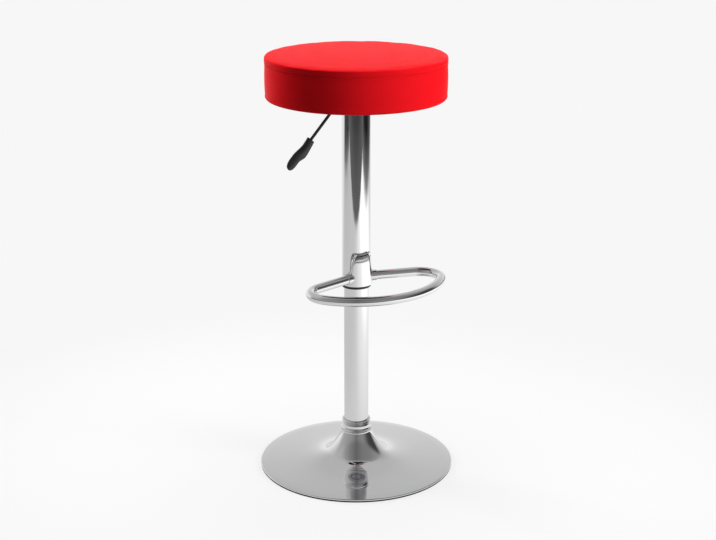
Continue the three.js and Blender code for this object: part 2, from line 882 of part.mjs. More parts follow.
function seatBolt(x, y) {
  const headTop = plateBottom - gap;
  const outline = [
    [0, headTop - boltHeadHeight],
    [boltHeadRadius, headTop - boltHeadHeight],
    [boltHeadRadius, headTop],
    [boltRadius, headTop],
    [boltRadius, boardTop - teeNutFlangeThickness],
    [0, boardTop - teeNutFlangeThickness],
  ];
  return turned(outline, boltSides).translate(x, y, 0);
}

function teeNut(x, y) {
  const bore = boltRadius + gap;
  const flangeBottom = boardTop - teeNutFlangeThickness;
  const outline = [
    [bore, boardTop - teeNutLength],
    [teeNutRadius, boardTop - teeNutLength],
    [teeNutRadius, flangeBottom],
    [teeNutFlangeRadius, flangeBottom],
    [teeNutFlangeRadius, boardTop],
    [bore, boardTop],
  ];
  return turned([...outline, outline[0]], boltSides).translate(x, y, 0);
}

// The pressed box under the seat plate. The lever leaves it through a slot in its -X wall.
function mechanismHousing() {
  const box = new THREE.BoxGeometry(housingLength, housingWidth, housingHeight);
  box.translate(0, 0, housingTop - housingHeight / 2);
  const innerLength = housingLength - 2 * housingWall;
  const innerWidth = housingWidth - 2 * housingWall;
  const hollow = new THREE.BoxGeometry(innerLength, innerWidth, housingHeight);
  hollow.translate(0, 0, housingTop - housingHeight / 2 + housingWall);
  const slotHeight = leverDrop + leverSlotDrop + overrun;
  const slot = new THREE.BoxGeometry(2 * overrun, leverSlotWidth, slotHeight);
  slot.translate(-housingLength / 2, 0, housingTop + overrun - slotHeight / 2);
  const holeRadius = taperSocketRadius + gap;
  const socketHole = disc(holeRadius, housingBottom - overrun, housingBottom + overrun, cylinderSides);
  const pinHole = crossRod(
    leverPinRadius + gap,
    -housingWidth / 2 - overrun,
    housingWidth / 2 + overrun,
    -leverPivotOut,
    leverHeight,
    pinSides,
  );
  return cut(box, hollow, slot, socketHole, pinHole);
}

// The radius of the gas cylinder's cone at a height.
function coneRadius(height) {
  const below = cylinderTop - cylinderShoulderHeight - height;
  return THREE.MathUtils.lerp(cylinderConeRadius, cylinderRadius, below / cylinderConeLength);
}

// The tapered ring, welded into the housing's floor, that sits on the cone of the gas cylinder.
function taperSocket() {
  const outline = [
    [coneRadius(taperSocketBottom) + gap, taperSocketBottom],
    [taperSocketRadius, taperSocketBottom],
    [taperSocketRadius, taperSocketTop],
    [coneRadius(taperSocketTop) + gap, taperSocketTop],
  ];
  return turned([...outline, outline[0]], cylinderSides);
}

// Lever pieces

const slope = radians(leverSlope);
const slopeDirection = new THREE.Vector3(-Math.cos(slope), 0, -Math.sin(slope));
const leverElbow = new THREE.Vector3(-leverElbowOut, 0, leverHeight);
const gripStart = leverElbow.clone().addScaledVector(slopeDirection, leverToGrip);

function leverPivotPin() {
  const shankEnd = housingWidth / 2 + leverPinProud;
  const headInside = -housingWidth / 2 - gap;
  const headOutside = headInside - leverPinHeadLength;
  const shankStart = (headInside + headOutside) / 2;
  const shank = crossRod(leverPinRadius, shankStart, shankEnd, -leverPivotOut, leverHeight, pinSides);
  const head = crossRod(
    leverPinHeadRadius,
    headOutside,
    headInside,
    -leverPivotOut,
    leverHeight,
    pinSides,
  );
  return joined(shank, head);
}

// A bent rod with an eye at its pivot and a tip that reaches over the release pin.
function leverRod() {
  const bendLength = leverElbowRadius * Math.tan(slope / 2);
  const bendCentre = [-leverElbowOut + bendLength, leverHeight - leverElbowRadius];
  const placed = (x, z) => new THREE.Vector3(x, 0, z);
  const bendEnd = quarterTurn + slope;
  const bend = arcStations(bendCentre, leverElbowRadius, quarterTurn, bendEnd, bendSteps, placed);
  const end = gripStart.clone().addScaledVector(slopeDirection, leverInGrip);
  const rod = sweptRod([placed(leverTipPast, leverHeight), ...bend, end], leverRadius, rodSides);
  const halfEye = leverEyeLength / 2;
  const eye = crossRod(leverEyeRadius, -halfEye, halfEye, -leverPivotOut, leverHeight, pinSides);
  const bore = crossRod(
    leverPinRadius + gap,
    -halfEye - overrun,
    halfEye + overrun,
    -leverPivotOut,
    leverHeight,
    pinSides,
  );
  return cut(joined(rod, eye), bore);
}

// A ring of points round the grip, flatter on its flanks, at one place along its length.
function gripRing(index) {
  const along = gripLength * gripStationShares[index];
  const centre = gripStart.clone().addScaledVector(slopeDirection, along);
  const upwards = new THREE.Vector3(slopeDirection.z, 0, -slopeDirection.x);
  const sideways = new THREE.Vector3(0, 1, 0);
  const upper = gripUpperWidth * gripUpperShares[index];
  const lower = gripLowerWidth * gripLowerShares[index];
  const thickness = gripHalfThickness * gripThicknessShares[index];
  return Array.from({ length: rodSides }, (_, i) => {
    const angle = (2 * Math.PI * i) / rodSides;
    const height = Math.cos(angle);
    const width = height > 0 ? upper : lower;
    return centre
      .clone()
      .addScaledVector(upwards, width * height)
      .addScaledVector(sideways, thickness * Math.sin(angle));
  });
}

function leverGrip() {
  const grip = skinned(gripStationShares.map((_, index) => gripRing(index)));
  const boreStart = gripStart.clone().addScaledVector(slopeDirection, -overrun);
  const boreEnd = gripStart.clone().addScaledVector(slopeDirection, leverInGrip + gap);
  return cut(grip, sweptRod([boreStart, boreEnd], leverRadius + gap, rodSides));
}

// The assembly

addPiece("base_dish", baseDish(), chrome);
addPiece("base_floor_ring", baseFloorRing(), blackRubber);
addPiece("base_socket", baseSocket(), bareSteel);
addPiece("base_brace_plate", basePlate(), bareSteel);
addPiece("base_collar", baseCollar(), chrome);

addPiece("column_tube", columnTube(), chrome);
addPiece("column_foot_plate", columnFootPlate(), bareSteel);
addPiece("column_bush", columnBush(), whitePlastic);
addPiece("bearing_lower_race", bearingRace(footPlateTop + gap), bareSteel);
addPiece("bearing_balls", bearingBalls(), bareSteel);
addPiece("bearing_upper_race", bearingRace(upperRaceBottom), bareSteel);

addPiece("piston_rod", pistonRod(), chrome);
addPiece("piston", piston(), blackPlastic);
addPiece("rod_buffer", rodBuffer(), blackRubber);
addPiece("rod_washer", rodWasher(), bareSteel);
addPiece("rod_clip", rodClip(), bareSteel);
addPiece("gas_cylinder", gasCylinder(), blackSteel);
addPiece("pressure_tube", pressureTube(), bareSteel);
addPiece("rod_guide", rodGuide(), blackPlastic);
addPiece("release_pin", releasePin(), bareSteel);

addPiece("cover_tube", coverTube(), chrome);
addPiece("cover_bush", coverBush(), blackPlastic);
addPiece("cover_cap", coverCap(), blackPlastic);
addPiece("cover_ring_nut", coverRingNut(), bareSteel);
addPiece("footrest_ring", footrestRing(), chrome);
addPiece("footrest_bracket", footrestBracket(), chrome);

addPiece("seat_plate", seatPlate(), blackSteel);
addPiece("mechanism_housing", mechanismHousing(), blackSteel);
addPiece("taper_socket", taperSocket(), blackSteel);
addPiece("lever_pivot_pin", leverPivotPin(), bareSteel);
addPiece("lever_rod", leverRod(), blackSteel);
addPiece("lever_grip", leverGrip(), blackPlastic);

addPiece("seat_cover", seatCover(), redVinyl);
addPiece("seat_foam", seatFoam(), foam);
addPiece("seat_board", seatBoard(), plywood);
addPiece("seat_dust_cloth", seatDustCloth(), blackCloth);
boltPlaces.forEach(([x, y], index) => {
  addPiece(`seat_bolt_${index + 1}`, seatBolt(x, y), bareSteel);
  addPiece(`tee_nut_${index + 1}`, teeNut(x, y), bareSteel);
});

export default stool;
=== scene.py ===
# %% [markdown]
# # A diner counter stool
# A round padded seat on a chrome column, with a footrest loop and a gas-lift lever. The measured solids
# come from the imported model. This lesson dresses them: finer metalwork, sewn vinyl, a lever grip, real
# finishes, and a small studio to look at it all in.

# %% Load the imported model
import json
import math
import random

import bmesh
import bpy
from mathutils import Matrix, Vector, noise as field


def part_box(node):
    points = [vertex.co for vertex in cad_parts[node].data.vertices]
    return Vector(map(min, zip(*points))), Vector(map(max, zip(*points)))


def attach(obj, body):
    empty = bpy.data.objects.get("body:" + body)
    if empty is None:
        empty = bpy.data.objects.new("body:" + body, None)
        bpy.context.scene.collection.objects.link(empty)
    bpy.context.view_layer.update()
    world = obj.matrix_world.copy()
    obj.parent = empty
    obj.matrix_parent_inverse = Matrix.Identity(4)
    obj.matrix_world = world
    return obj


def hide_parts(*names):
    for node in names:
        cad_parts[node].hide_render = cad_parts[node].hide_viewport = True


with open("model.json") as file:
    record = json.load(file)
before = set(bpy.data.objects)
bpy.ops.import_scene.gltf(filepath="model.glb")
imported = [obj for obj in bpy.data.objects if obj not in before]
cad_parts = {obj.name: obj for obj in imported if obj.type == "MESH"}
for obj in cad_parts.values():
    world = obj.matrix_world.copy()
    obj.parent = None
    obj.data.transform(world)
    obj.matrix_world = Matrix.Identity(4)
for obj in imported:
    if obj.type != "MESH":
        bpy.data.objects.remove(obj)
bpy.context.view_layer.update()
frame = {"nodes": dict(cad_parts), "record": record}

nodes = frame["nodes"]
MM = 0.001

# %% [markdown]
# ## The camera
# A product picture is taken from a little above with a long lens, so the ellipses stay flat. The stool
# is turned so that its footrest points to the picture's right. A lens of 75 mm on a 36 mm wide sensor,
# about 2.9 m away, gives the same perspective.

# %% Stand the camera in front
camera_distance = 2.896
camera_height = 1.335
camera_pitch = 17.53
camera_turn = -30.0
camera_yaw = -0.07
toward_camera = Vector((math.sin(math.radians(camera_turn)), -math.cos(math.radians(camera_turn)), 0))
image_right = Vector((-toward_camera.y, toward_camera.x, 0))
camera_data = bpy.data.cameras.new("camera")
camera_data.sensor_width = 36
camera_data.lens = 75.47
camera = bpy.data.objects.new("camera", camera_data)
camera.location = toward_camera * camera_distance + Vector((0, 0, camera_height))
camera_angles = (90 - camera_pitch, 0, camera_turn + camera_yaw)
camera.rotation_euler = [math.radians(angle) for angle in camera_angles]
scene = bpy.context.scene
scene.collection.objects.link(camera)
scene.camera = camera
scene.view_settings.view_transform = "Standard"
print("camera at", [round(v, 3) for v in camera.location])

# %% [markdown]
# ## Nodes in one line
# A shader is a graph of nodes. Making one by hand takes a line for each node, each setting and each
# link, so one helper makes a node, fills its sockets with numbers, and links those that are given the
# output of another node.

# %% A helper that makes a node and fills its sockets
def add_node(tree, kind, sockets=None, **settings):
    made = tree.nodes.new(kind)
    for key, value in settings.items():
        setattr(made, key, value)
    for key, value in (sockets or {}).items():
        if isinstance(value, bpy.types.NodeSocket):
            tree.links.new(value, made.inputs[key])
        else:
            made.inputs[key].default_value = value
    return made


def sums(tree, operation, first, second=0.0, clamp=False):
    made = add_node(tree, "ShaderNodeMath", {0: first, 1: second}, operation=operation)
    made.use_clamp = clamp
    return made.outputs[0]


def spread(tree, value, low, high, to_low, to_high):
    sockets = {"Value": value, 1: low, 2: high, 3: to_low, 4: to_high}
    return add_node(tree, "ShaderNodeMapRange", sockets, interpolation_type="SMOOTHSTEP").outputs[0]


def tint(tree, share, first, second):
    sockets = {0: share, 6: first, 7: second}
    return add_node(tree, "ShaderNodeMix", sockets, data_type="RGBA").outputs[2]


def grey(level):
    return (level, level, level, 1.0)


print("helpers:", add_node.__name__, sums.__name__, spread.__name__, tint.__name__)

# %% [markdown]
# ## The studio
# Chrome has hardly a colour of its own: it shows the room. The upright tubes mirror the floor on the
# camera's side, the base mirrors the white wall behind the stool, and the footrest mirrors the dark
# room in front. So the room matters as much as the lamps: a sheet of white paper on the floor that ends
# a little before the camera, a white wall behind, and a dark room on the camera's side.
#
# The floor is lit by the lamps and keeps the stool's soft shadow. Rays from the camera see it a little
# brighter, up to a clean paper white, through the Light Path node. Mirror rays see a glowing sheet of
# painted light instead: painted greys for how the lamps light the paper, brightest towards the right, and
# painted dark past the paper's front edge and far behind.

# %% Values of the room
paper_white = 0.93
paper_front = 1.86
shadow_share = 0.24
shadow_reach = 1.1
bounce_white = 0.34
floor_size = 60.0
print("paper ends", paper_front, "m towards the camera")


# %% Where a ray looks, as seen from the stool
def studio_axes(tree, vector):
    towards = add_node(tree, "ShaderNodeVectorMath", {0: vector, 1: toward_camera}, operation="DOT_PRODUCT")
    rightwards = add_node(tree, "ShaderNodeVectorMath", {0: vector, 1: image_right}, operation="DOT_PRODUCT")
    return towards.outputs["Value"], rightwards.outputs["Value"]


def ray_kinds(tree):
    path = add_node(tree, "ShaderNodeLightPath")
    mirrored = sums(tree, "ADD", path.outputs["Is Glossy Ray"], path.outputs["Is Transmission Ray"], True)
    return path.outputs["Is Camera Ray"], mirrored


# Levels of grey at places along a line, with a smooth run between them.
def grey_run(tree, value, first, last, levels):
    share = add_node(tree, "ShaderNodeMapRange", {"Value": value, 1: first, 2: last}).outputs[0]
    ramp = add_node(tree, "ShaderNodeValToRGB", {0: share})
    stops = ramp.color_ramp.elements
    for i, (place, level) in enumerate(levels):
        stop = stops[i] if i < 2 else stops.new(1.0)
        stop.position = (place - first) / (last - first)
        stop.color = grey(level)
    return ramp.outputs[0]


print("towards the camera:", [round(v, 3) for v in toward_camera])

# %% Lay the floor
floor_material = bpy.data.materials.new("studio_paper")
floor_material.use_nodes = True
tree = floor_material.node_tree
tree.nodes.clear()
place = add_node(tree, "ShaderNodeNewGeometry").outputs["Position"]
towards, rightwards = studio_axes(tree, place)
# Painted light for mirror rays: these greys stand in for lamplight on the paper, and an emission shows them.
across_paper = [
    (-3.5, 0.05), (-3.1, 0.08), (-2.75, 0.2), (-2.45, 0.5), (-2.1, 0.56), (-1.4, 0.6), (-0.5, 0.62),
    (0.0, 0.7), (0.2, 0.8), (0.45, 0.88), (0.7, 0.95), (1.0, 1.2), (2.0, 1.2), (2.15, 0.8), (2.35, 0.25),
    (2.5, 0.17), (2.9, 0.07), (3.3, 0.015),
]
painted_paper_light = grey_run(tree, rightwards, -4.0, 4.0, across_paper)
dark_floor = grey_run(tree, towards, 0.0, 4.0, [(1.8, 0.13), (2.4, 0.11), (3.4, 0.055)])
past_front = spread(tree, towards, paper_front - 0.1, paper_front + 0.12, 0.0, 1.0)
in_front = tint(tree, past_front, painted_paper_light, dark_floor)
rear_levels = [(-3.0, 0.86), (0.3, 0.84), (1.2, 0.78), (1.7, 0.72), (2.1, 0.35), (2.6, 0.08)]
rear_paper = grey_run(tree, rightwards, -4.0, 4.0, rear_levels)
behind = spread(tree, towards, -1.7, -0.45, 1.0, 0.0)
painted_floor_light = tint(tree, behind, in_front, rear_paper)
fibres = add_node(tree, "ShaderNodeTexNoise", {"Vector": place, "Scale": 240.0, "Detail": 3.0}).outputs[0]
camera_ray, mirror_ray = ray_kinds(tree)
paper_colour = tint(tree, fibres, grey(paper_white - 0.01), grey(paper_white + 0.01))
lit_colour = tint(tree, camera_ray, grey(bounce_white), paper_colour)
lit = add_node(tree, "ShaderNodeBsdfDiffuse", {"Color": lit_colour})
clean = add_node(tree, "ShaderNodeEmission", {"Color": grey(paper_white)})
mirrored = add_node(tree, "ShaderNodeEmission", {"Color": painted_floor_light})
away = add_node(tree, "ShaderNodeVectorMath", {0: place}, operation="LENGTH").outputs["Value"]
clean_share = spread(tree, away, 0.4, shadow_reach, 1.0 - shadow_share, 1.0)
seen_share = sums(tree, "MULTIPLY", camera_ray, clean_share)
seen = add_node(tree, "ShaderNodeMixShader", {0: seen_share, 1: lit.outputs[0], 2: clean.outputs[0]})
both = add_node(tree, "ShaderNodeMixShader", {0: mirror_ray, 1: seen.outputs[0], 2: mirrored.outputs[0]})
add_node(tree, "ShaderNodeOutputMaterial", {0: both.outputs[0]})
bpy.ops.mesh.primitive_plane_add(size=floor_size)
floor = bpy.context.object
floor.name = "studio_floor"
floor.data.materials.append(floor_material)
print("floor", floor_size, "m across")

# %% [markdown]
# The rest of the room is only seen in the chrome, so it is painted on the world: a grey for each
# direction. One run of greys goes round the stool at a low height and one higher up, a third goes up the
# white wall behind, and the ceiling closes it. The camera itself sees plain white, and the diffuse light
# of the room stays low and even.

# %% Paint the room round the stool
ambient_level = 0.13
world = bpy.data.worlds.new("studio")
scene.world = world
world.use_nodes = True
tree = world.node_tree
tree.nodes.clear()
direction = add_node(tree, "ShaderNodeTexCoord").outputs["Generated"]
towards, rightwards = studio_axes(tree, direction)
height = add_node(tree, "ShaderNodeSeparateXYZ", {0: direction}).outputs["Z"]
turn = sums(tree, "MULTIPLY", sums(tree, "ARCTAN2", rightwards, towards), 180.0 / math.pi)
low_levels = [
    (-170, 0.6), (-110, 0.46), (-60, 0.34), (-30, 0.29), (-12, 0.23), (0, 0.17), (18, 0.24),
    (45, 0.26), (62, 0.17), (78, 0.07), (96, 0.05), (114, 0.06), (128, 0.35), (150, 0.65),
]
high_levels = [
    (-170, 0.5), (-80, 0.46), (-60, 0.32), (-34, 0.22), (0, 0.14), (34, 0.2),
    (70, 0.22), (110, 0.3), (150, 0.5),
]
low_room = grey_run(tree, turn, -180, 180, low_levels)
high_room = grey_run(tree, turn, -180, 180, high_levels)
room = tint(tree, spread(tree, height, 0.4, 0.6, 0.0, 1.0), low_room, high_room)
wall_levels = [(0.0, 0.9), (0.16, 0.84), (0.26, 0.72), (0.42, 0.6), (0.515, 0.54), (0.6, 0.51), (1.0, 0.5)]
wall = grey_run(tree, height, 0.0, 1.0, wall_levels)
wall_right = spread(tree, rightwards, 0.25, 0.8, 1.0, 0.72)
wall = add_node(tree, "ShaderNodeVectorMath", {0: wall, 1: wall_right}, operation="MULTIPLY").outputs[0]
turned_away = sums(tree, "ABSOLUTE", sums(tree, "SUBTRACT", turn, 8.0))
on_wall = spread(tree, turned_away, 100.0, 128.0, 0.0, 1.0)
walls = tint(tree, on_wall, room, wall)
ceiling = tint(tree, spread(tree, rightwards, -0.25, 0.25, 0.0, 1.0), grey(0.38), grey(0.24))
shown_room = tint(tree, spread(tree, height, 0.93, 0.985, 0.0, 1.0), walls, ceiling)
camera_ray, mirror_ray = ray_kinds(tree)
unseen = tint(tree, mirror_ray, grey(ambient_level), shown_room)
background = tint(tree, camera_ray, unseen, grey(paper_white))
shown = add_node(tree, "ShaderNodeBackground", {"Color": background})
add_node(tree, "ShaderNodeOutputWorld", {0: shown.outputs[0]})
print("room light", ambient_level)

# %% [markdown]
# ## Lamps
# Three large soft boxes: one above for the seat's top, one to the right of the camera that brightens
# the right side of the band, and one behind on the left for the far edge. A lamp's power for a level of
# light on a surface that faces it grows with the square of its distance. The chrome mirrors the painted
# room and not the lamps, as when a photographer flags the boxes off.

# %% Hang three soft boxes
def soft_box(name, turn, distance, lamp_height, width, tall, level):
    lamp = bpy.data.lights.new(name, "AREA")
    lamp.shape = "RECTANGLE"
    lamp.size = width
    lamp.size_y = tall
    angle = math.radians(turn)
    flat = toward_camera * math.cos(angle) + image_right * math.sin(angle)
    holder = bpy.data.objects.new(name, lamp)
    holder.location = flat * distance + Vector((0, 0, lamp_height))
    aim = Vector((0, 0, 0.6)) - holder.location
    holder.rotation_euler = aim.to_track_quat("-Z", "Y").to_euler()
    lamp.energy = level * math.pi**2 * aim.length_squared
    holder.visible_glossy = False
    scene.collection.objects.link(holder)
    print(name, round(lamp.energy, 1), "W")


soft_box("soft_box_top", 180.0, 0.35, 3.3, 2.2, 2.2, 0.9)
soft_box("soft_box_right", 68.0, 2.7, 1.1, 1.1, 1.6, 0.95)
soft_box("soft_box_left", -124.0, 2.7, 1.1, 1.1, 1.6, 0.95)

# %% [markdown]
# ## Finishes
# Each finish starts from Blender's Principled shader, which covers metal, plastic and cloth alike. What
# makes it look real is small variation: in colour, in roughness, and in the bumps that bend the light.
# The patterns are worked out from the place on the stool itself, so they need no image.

# %% Start a finish, and the patterns that several share
finishes = {}
base_colours = {m["slot"]: (*m["base_color"], 1.0) for m in frame["record"]["materials"]}


def start_finish(slot, **sockets):
    made = bpy.data.materials.new(slot)
    made.use_nodes = True
    tree = made.node_tree
    shader = tree.nodes["Principled BSDF"]
    for key, value in sockets.items():
        shader.inputs[key.replace("_", " ")].default_value = value
    finishes[slot] = made
    place = add_node(tree, "ShaderNodeTexCoord").outputs["Object"]
    return tree, shader, place


def cloudy(tree, place, scale, detail=4.0, roughness=0.55):
    sockets = {"Vector": place, "Scale": scale, "Detail": detail, "Roughness": roughness}
    return add_node(tree, "ShaderNodeTexNoise", sockets).outputs[0]


def shade(colour, by):
    return (*[min(1.0, channel * by) for channel in colour[:3]], 1.0)


def coloured(tree, shader, share, colour, low, high):
    mixed = tint(tree, share, shade(colour, low), shade(colour, high))
    tree.links.new(mixed, shader.inputs["Base Color"])


def dulled(tree, shader, pattern, low, high, to_low, to_high):
    tree.links.new(spread(tree, pattern, low, high, to_low, to_high), shader.inputs["Roughness"])


def bumped(tree, shader, height, strength, distance, under=None):
    sockets = {"Height": height, "Strength": strength, "Distance": distance}
    if under is not None:
        sockets["Normal"] = under
    normal = add_node(tree, "ShaderNodeBump", sockets).outputs[0]
    tree.links.new(normal, shader.inputs["Normal"])
    return normal


print("slots:", ", ".join(base_colours))

# %% [markdown]
# Chrome plate is a mirror with almost no grain. Handling leaves faint smears that are a little duller,
# and polishing leaves hair-fine marks. The plate itself waves very slightly over the steel below.

# %% Chrome plate
smear_scale = 14.0
tree, shader, place = start_finish("chrome", Metallic=1.0)
smears = cloudy(tree, place, smear_scale, 5.0, 0.6)
marks = cloudy(tree, place, 900.0, 2.0)
waves = cloudy(tree, place, 22.0, 1.0)
coloured(tree, shader, smears, base_colours["chrome"], 0.97, 1.03)
smear_dullness = spread(tree, smears, 0.35, 0.8, 0.02, 0.065)
mark_dullness = spread(tree, marks, 0.4, 0.8, 0.0, 0.02)
dullness = sums(tree, "ADD", smear_dullness, mark_dullness)
tree.links.new(dullness, shader.inputs["Roughness"])
wave_normal = bumped(tree, shader, waves, 0.12, 0.0006)
bumped(tree, shader, marks, 0.02, 0.00005, wave_normal)
print("chrome smears about", round(1000 / smear_scale), "mm apart")

# %% [markdown]
# Bare steel carries the rings that a lathe tool leaves, and a few darker patches of oil.

# %% Bare machined steel
tool_ring_scale = 260.0
tree, shader, place = start_finish("bare_steel", Metallic=1.0)
patches = cloudy(tree, place, 45.0, 5.0)
rings_of_tool = add_node(tree, "ShaderNodeTexWave", {
    "Vector": place, "Scale": tool_ring_scale, "Distortion": 0.6, "Detail": 2.0,
}, wave_type="RINGS", rings_direction="Z").outputs[1]
coloured(tree, shader, patches, base_colours["bare_steel"], 0.8, 1.1)
dulled(tree, shader, patches, 0.3, 0.8, 0.26, 0.46)
bumped(tree, shader, rings_of_tool, 0.15, 0.00008)
waves_in_scale = 20 / (2 * math.pi)  # the wave texture's rings in a length of one over its scale
print("tool rings", round(1000 / tool_ring_scale / waves_in_scale, 1), "mm apart")

# %% [markdown]
# The underside is powder coated: a satin black skin with a faint orange-peel texture, rubbed thinner and
# paler along its edges.

# %% Black powder coat
peel_scale = 420.0
tree, shader, place = start_finish("black_steel", Specular_IOR_Level=0.25)
peel = cloudy(tree, place, peel_scale, 2.0)
dust = cloudy(tree, place, 30.0, 5.0, 0.65)
edge = add_node(tree, "ShaderNodeNewGeometry").outputs["Pointiness"]
worn = spread(tree, edge, 0.53, 0.62, 0.0, 0.55)
colour = base_colours["black_steel"]
coat = tint(tree, dust, shade(colour, 0.8), shade(colour, 1.5))
tree.links.new(tint(tree, worn, coat, shade(colour, 4.5)), shader.inputs["Base Color"])
dulled(tree, shader, dust, 0.3, 0.75, 0.34, 0.52)
bumped(tree, shader, peel, 0.22, 0.00015)
print("orange peel about", round(1000 / peel_scale, 1), "mm across")

# %% [markdown]
# Moulded black plastic has a fine spark grain, and shines a little where hands have polished it.

# %% Black moulded plastic
spark_scale = 1500.0
tree, shader, place = start_finish("black_plastic", Specular_IOR_Level=0.42)
spark = cloudy(tree, place, spark_scale, 3.0, 0.7)
polish = cloudy(tree, place, 38.0, 3.0)
coloured(tree, shader, polish, base_colours["black_plastic"], 0.9, 1.9)
dulled(tree, shader, polish, 0.3, 0.75, 0.3, 0.48)
bumped(tree, shader, spark, 0.3, 0.00008)
print("spark grain about", round(1000 / spark_scale, 2), "mm")

# %% [markdown]
# Rubber is dull, with a pale bloom in patches where it has aged. The white plastic of the guide bush lets
# a little light in, so it gets some subsurface scattering, and its moulded skin is nearly smooth.

# %% Black rubber
tree, shader, place = start_finish("black_rubber", Specular_IOR_Level=0.3)
bloom = cloudy(tree, place, 60.0, 6.0, 0.7)
coloured(tree, shader, bloom, base_colours["black_rubber"], 0.8, 2.4)
dulled(tree, shader, bloom, 0.3, 0.7, 0.7, 0.9)
bumped(tree, shader, cloudy(tree, place, 800.0), 0.25, 0.0001)
print("rubber finished")

# %% White moulded plastic
tree, shader, place = start_finish("white_plastic", Subsurface_Weight=0.08)
flow = cloudy(tree, place, 25.0, 3.0)
coloured(tree, shader, flow, base_colours["white_plastic"], 0.93, 1.04)
dulled(tree, shader, flow, 0.3, 0.7, 0.38, 0.5)
bumped(tree, shader, cloudy(tree, place, 900.0), 0.12, 0.00006)
print("white plastic finished")

# %% [markdown]
# Upholstery vinyl is a printed skin: cells about a millimetre wide, with finer pores between, over a
# soft backing that gives long shallow dents. It is satin, and the tops of the cells are shinier than
# the valleys. The colour is even, with painted shade: darker in the cell valleys, a trace darker down in the
# dents.

# %% Red upholstery vinyl
cell_scale = 820.0
tree, shader, place = start_finish("red_vinyl", Specular_IOR_Level=0.025)
cells = add_node(tree, "ShaderNodeTexVoronoi", {
    "Vector": place, "Scale": cell_scale, "Randomness": 0.9,
}, feature="DISTANCE_TO_EDGE").outputs[0]
valleys = spread(tree, cells, 0.0, 0.22, 0.0, 1.0)
pores = cloudy(tree, place, 2400.0, 2.0)
dents = cloudy(tree, place, 34.0, 3.0)
colour = base_colours["red_vinyl"]
# Painted shade: the red is a trace darker down in the dents, and darker again in the cell valleys.
painted_dent_shade = tint(tree, dents, shade(colour, 0.96), shade(colour, 1.04))
tree.links.new(tint(tree, valleys, shade(colour, 0.86), painted_dent_shade), shader.inputs["Base Color"])
dulled(tree, shader, valleys, 0.0, 1.0, 0.5, 0.36)
dent_normal = bumped(tree, shader, dents, 0.1, 0.0012)
pore_normal = bumped(tree, shader, pores, 0.1, 0.00005, dent_normal)
bumped(tree, shader, valleys, 0.28, 0.00009, pore_normal)
print("vinyl cells about", round(1000 / cell_scale, 1), "mm across")

# %% [markdown]
# Inside the seat: open-cell foam, full of small bubbles; birch plywood, whose plies show on its edge as
# light and dark layers while its faces show long grain; and a felt dust cloth of matted fibres.

# %% Foam
tree, shader, place = start_finish("foam", Sheen_Weight=0.2)
bubbles = add_node(tree, "ShaderNodeTexVoronoi", {"Vector": place, "Scale": 700.0}).outputs[0]
# Painted shade: the foam is darker down in each bubble's pit, where the bump sinks.
coloured(tree, shader, bubbles, base_colours["foam"], 0.72, 1.05)
dulled(tree, shader, bubbles, 0.0, 0.8, 0.95, 0.8)
bumped(tree, shader, bubbles, 0.7, 0.0006)
print("foam finished")

# %% Birch plywood
tree, shader, place = start_finish("plywood", Specular_IOR_Level=0.3)
plies = add_node(tree, "ShaderNodeTexWave", {
    "Vector": place, "Scale": 95.0, "Distortion": 0.4,
}, bands_direction="Z").outputs[1]
stretched = add_node(tree, "ShaderNodeMapping", {"Vector": place, "Scale": (1.0, 14.0, 14.0)}).outputs[0]
grain = cloudy(tree, stretched, 26.0, 6.0, 0.6)
colour = base_colours["plywood"]
layered = tint(tree, plies, shade(colour, 0.7), shade(colour, 1.1))
tree.links.new(tint(tree, grain, layered, shade(colour, 1.15)), shader.inputs["Base Color"])
dulled(tree, shader, grain, 0.3, 0.7, 0.55, 0.75)
bumped(tree, shader, grain, 0.3, 0.0002)
print("plywood finished")

# %% Felt
tree, shader, place = start_finish("black_cloth", Specular_IOR_Level=0.2, Sheen_Weight=0.35)
fibres = cloudy(tree, place, 1100.0, 6.0, 0.8)
coloured(tree, shader, fibres, base_colours["black_cloth"], 0.4, 2.2)
dulled(tree, shader, fibres, 0.2, 0.8, 0.85, 1.0)
bumped(tree, shader, fibres, 0.6, 0.0003)
print(len(finishes), "finishes")

# %% [markdown]
# ## Making a piece
# Almost every metal part of the stool is turned or bent tube. Three small makers cover them: one turns
# an outline about the column's axis, one skins rings of points, and one sweeps a circle along a line.
# Each returns points in millimetres and faces. A last helper makes the object, gives it its finish,
# hides the plain solids it stands for, and hands it to the body that it moves with.

# %% Turn an outline
def turned(outline, sides):
    points, faces, rings = [], [], []
    for radius, height_mm in outline:
        if radius < 1e-6:
            rings.append([len(points)] * sides)
            points.append((0.0, 0.0, height_mm))
            continue
        rings.append([len(points) + i for i in range(sides)])
        for i in range(sides):
            angle = 2 * math.pi * i / sides
            points.append((radius * math.cos(angle), radius * math.sin(angle), height_mm))
    for lower, upper in zip(rings, rings[1:]):
        for i in range(sides):
            j = (i + 1) % sides
            corners = []
            for corner in (lower[i], lower[j], upper[j], upper[i]):
                if corner not in corners:
                    corners.append(corner)
            if len(corners) > 2:
                faces.append(corners)
    return points, faces


def turned_closed(outline, sides):
    return turned([*outline, outline[0]], sides)


print("a turned cup has", len(turned([(0, 0), (10, 0), (10, 5)], 12)[1]), "faces")


# %% Skin rings of points, and sweep a circle
def skinned(rings, closed_ends=True):
    points = [tuple(point) for ring in rings for point in ring]
    count = len(rings[0])
    faces = []
    for row in range(len(rings) - 1):
        for i in range(count):
            j = (i + 1) % count
            a, b = row * count, (row + 1) * count
            faces.append([a + i, a + j, b + j, b + i])
    if closed_ends:
        faces.append(list(range(count))[::-1])
        faces.append([len(points) - count + i for i in range(count)])
    return points, faces


def circle(centre, radius, first, second, sides):
    angles = [2 * math.pi * k / sides for k in range(sides)]
    return [centre + radius * (math.cos(angle) * first + math.sin(angle) * second) for angle in angles]


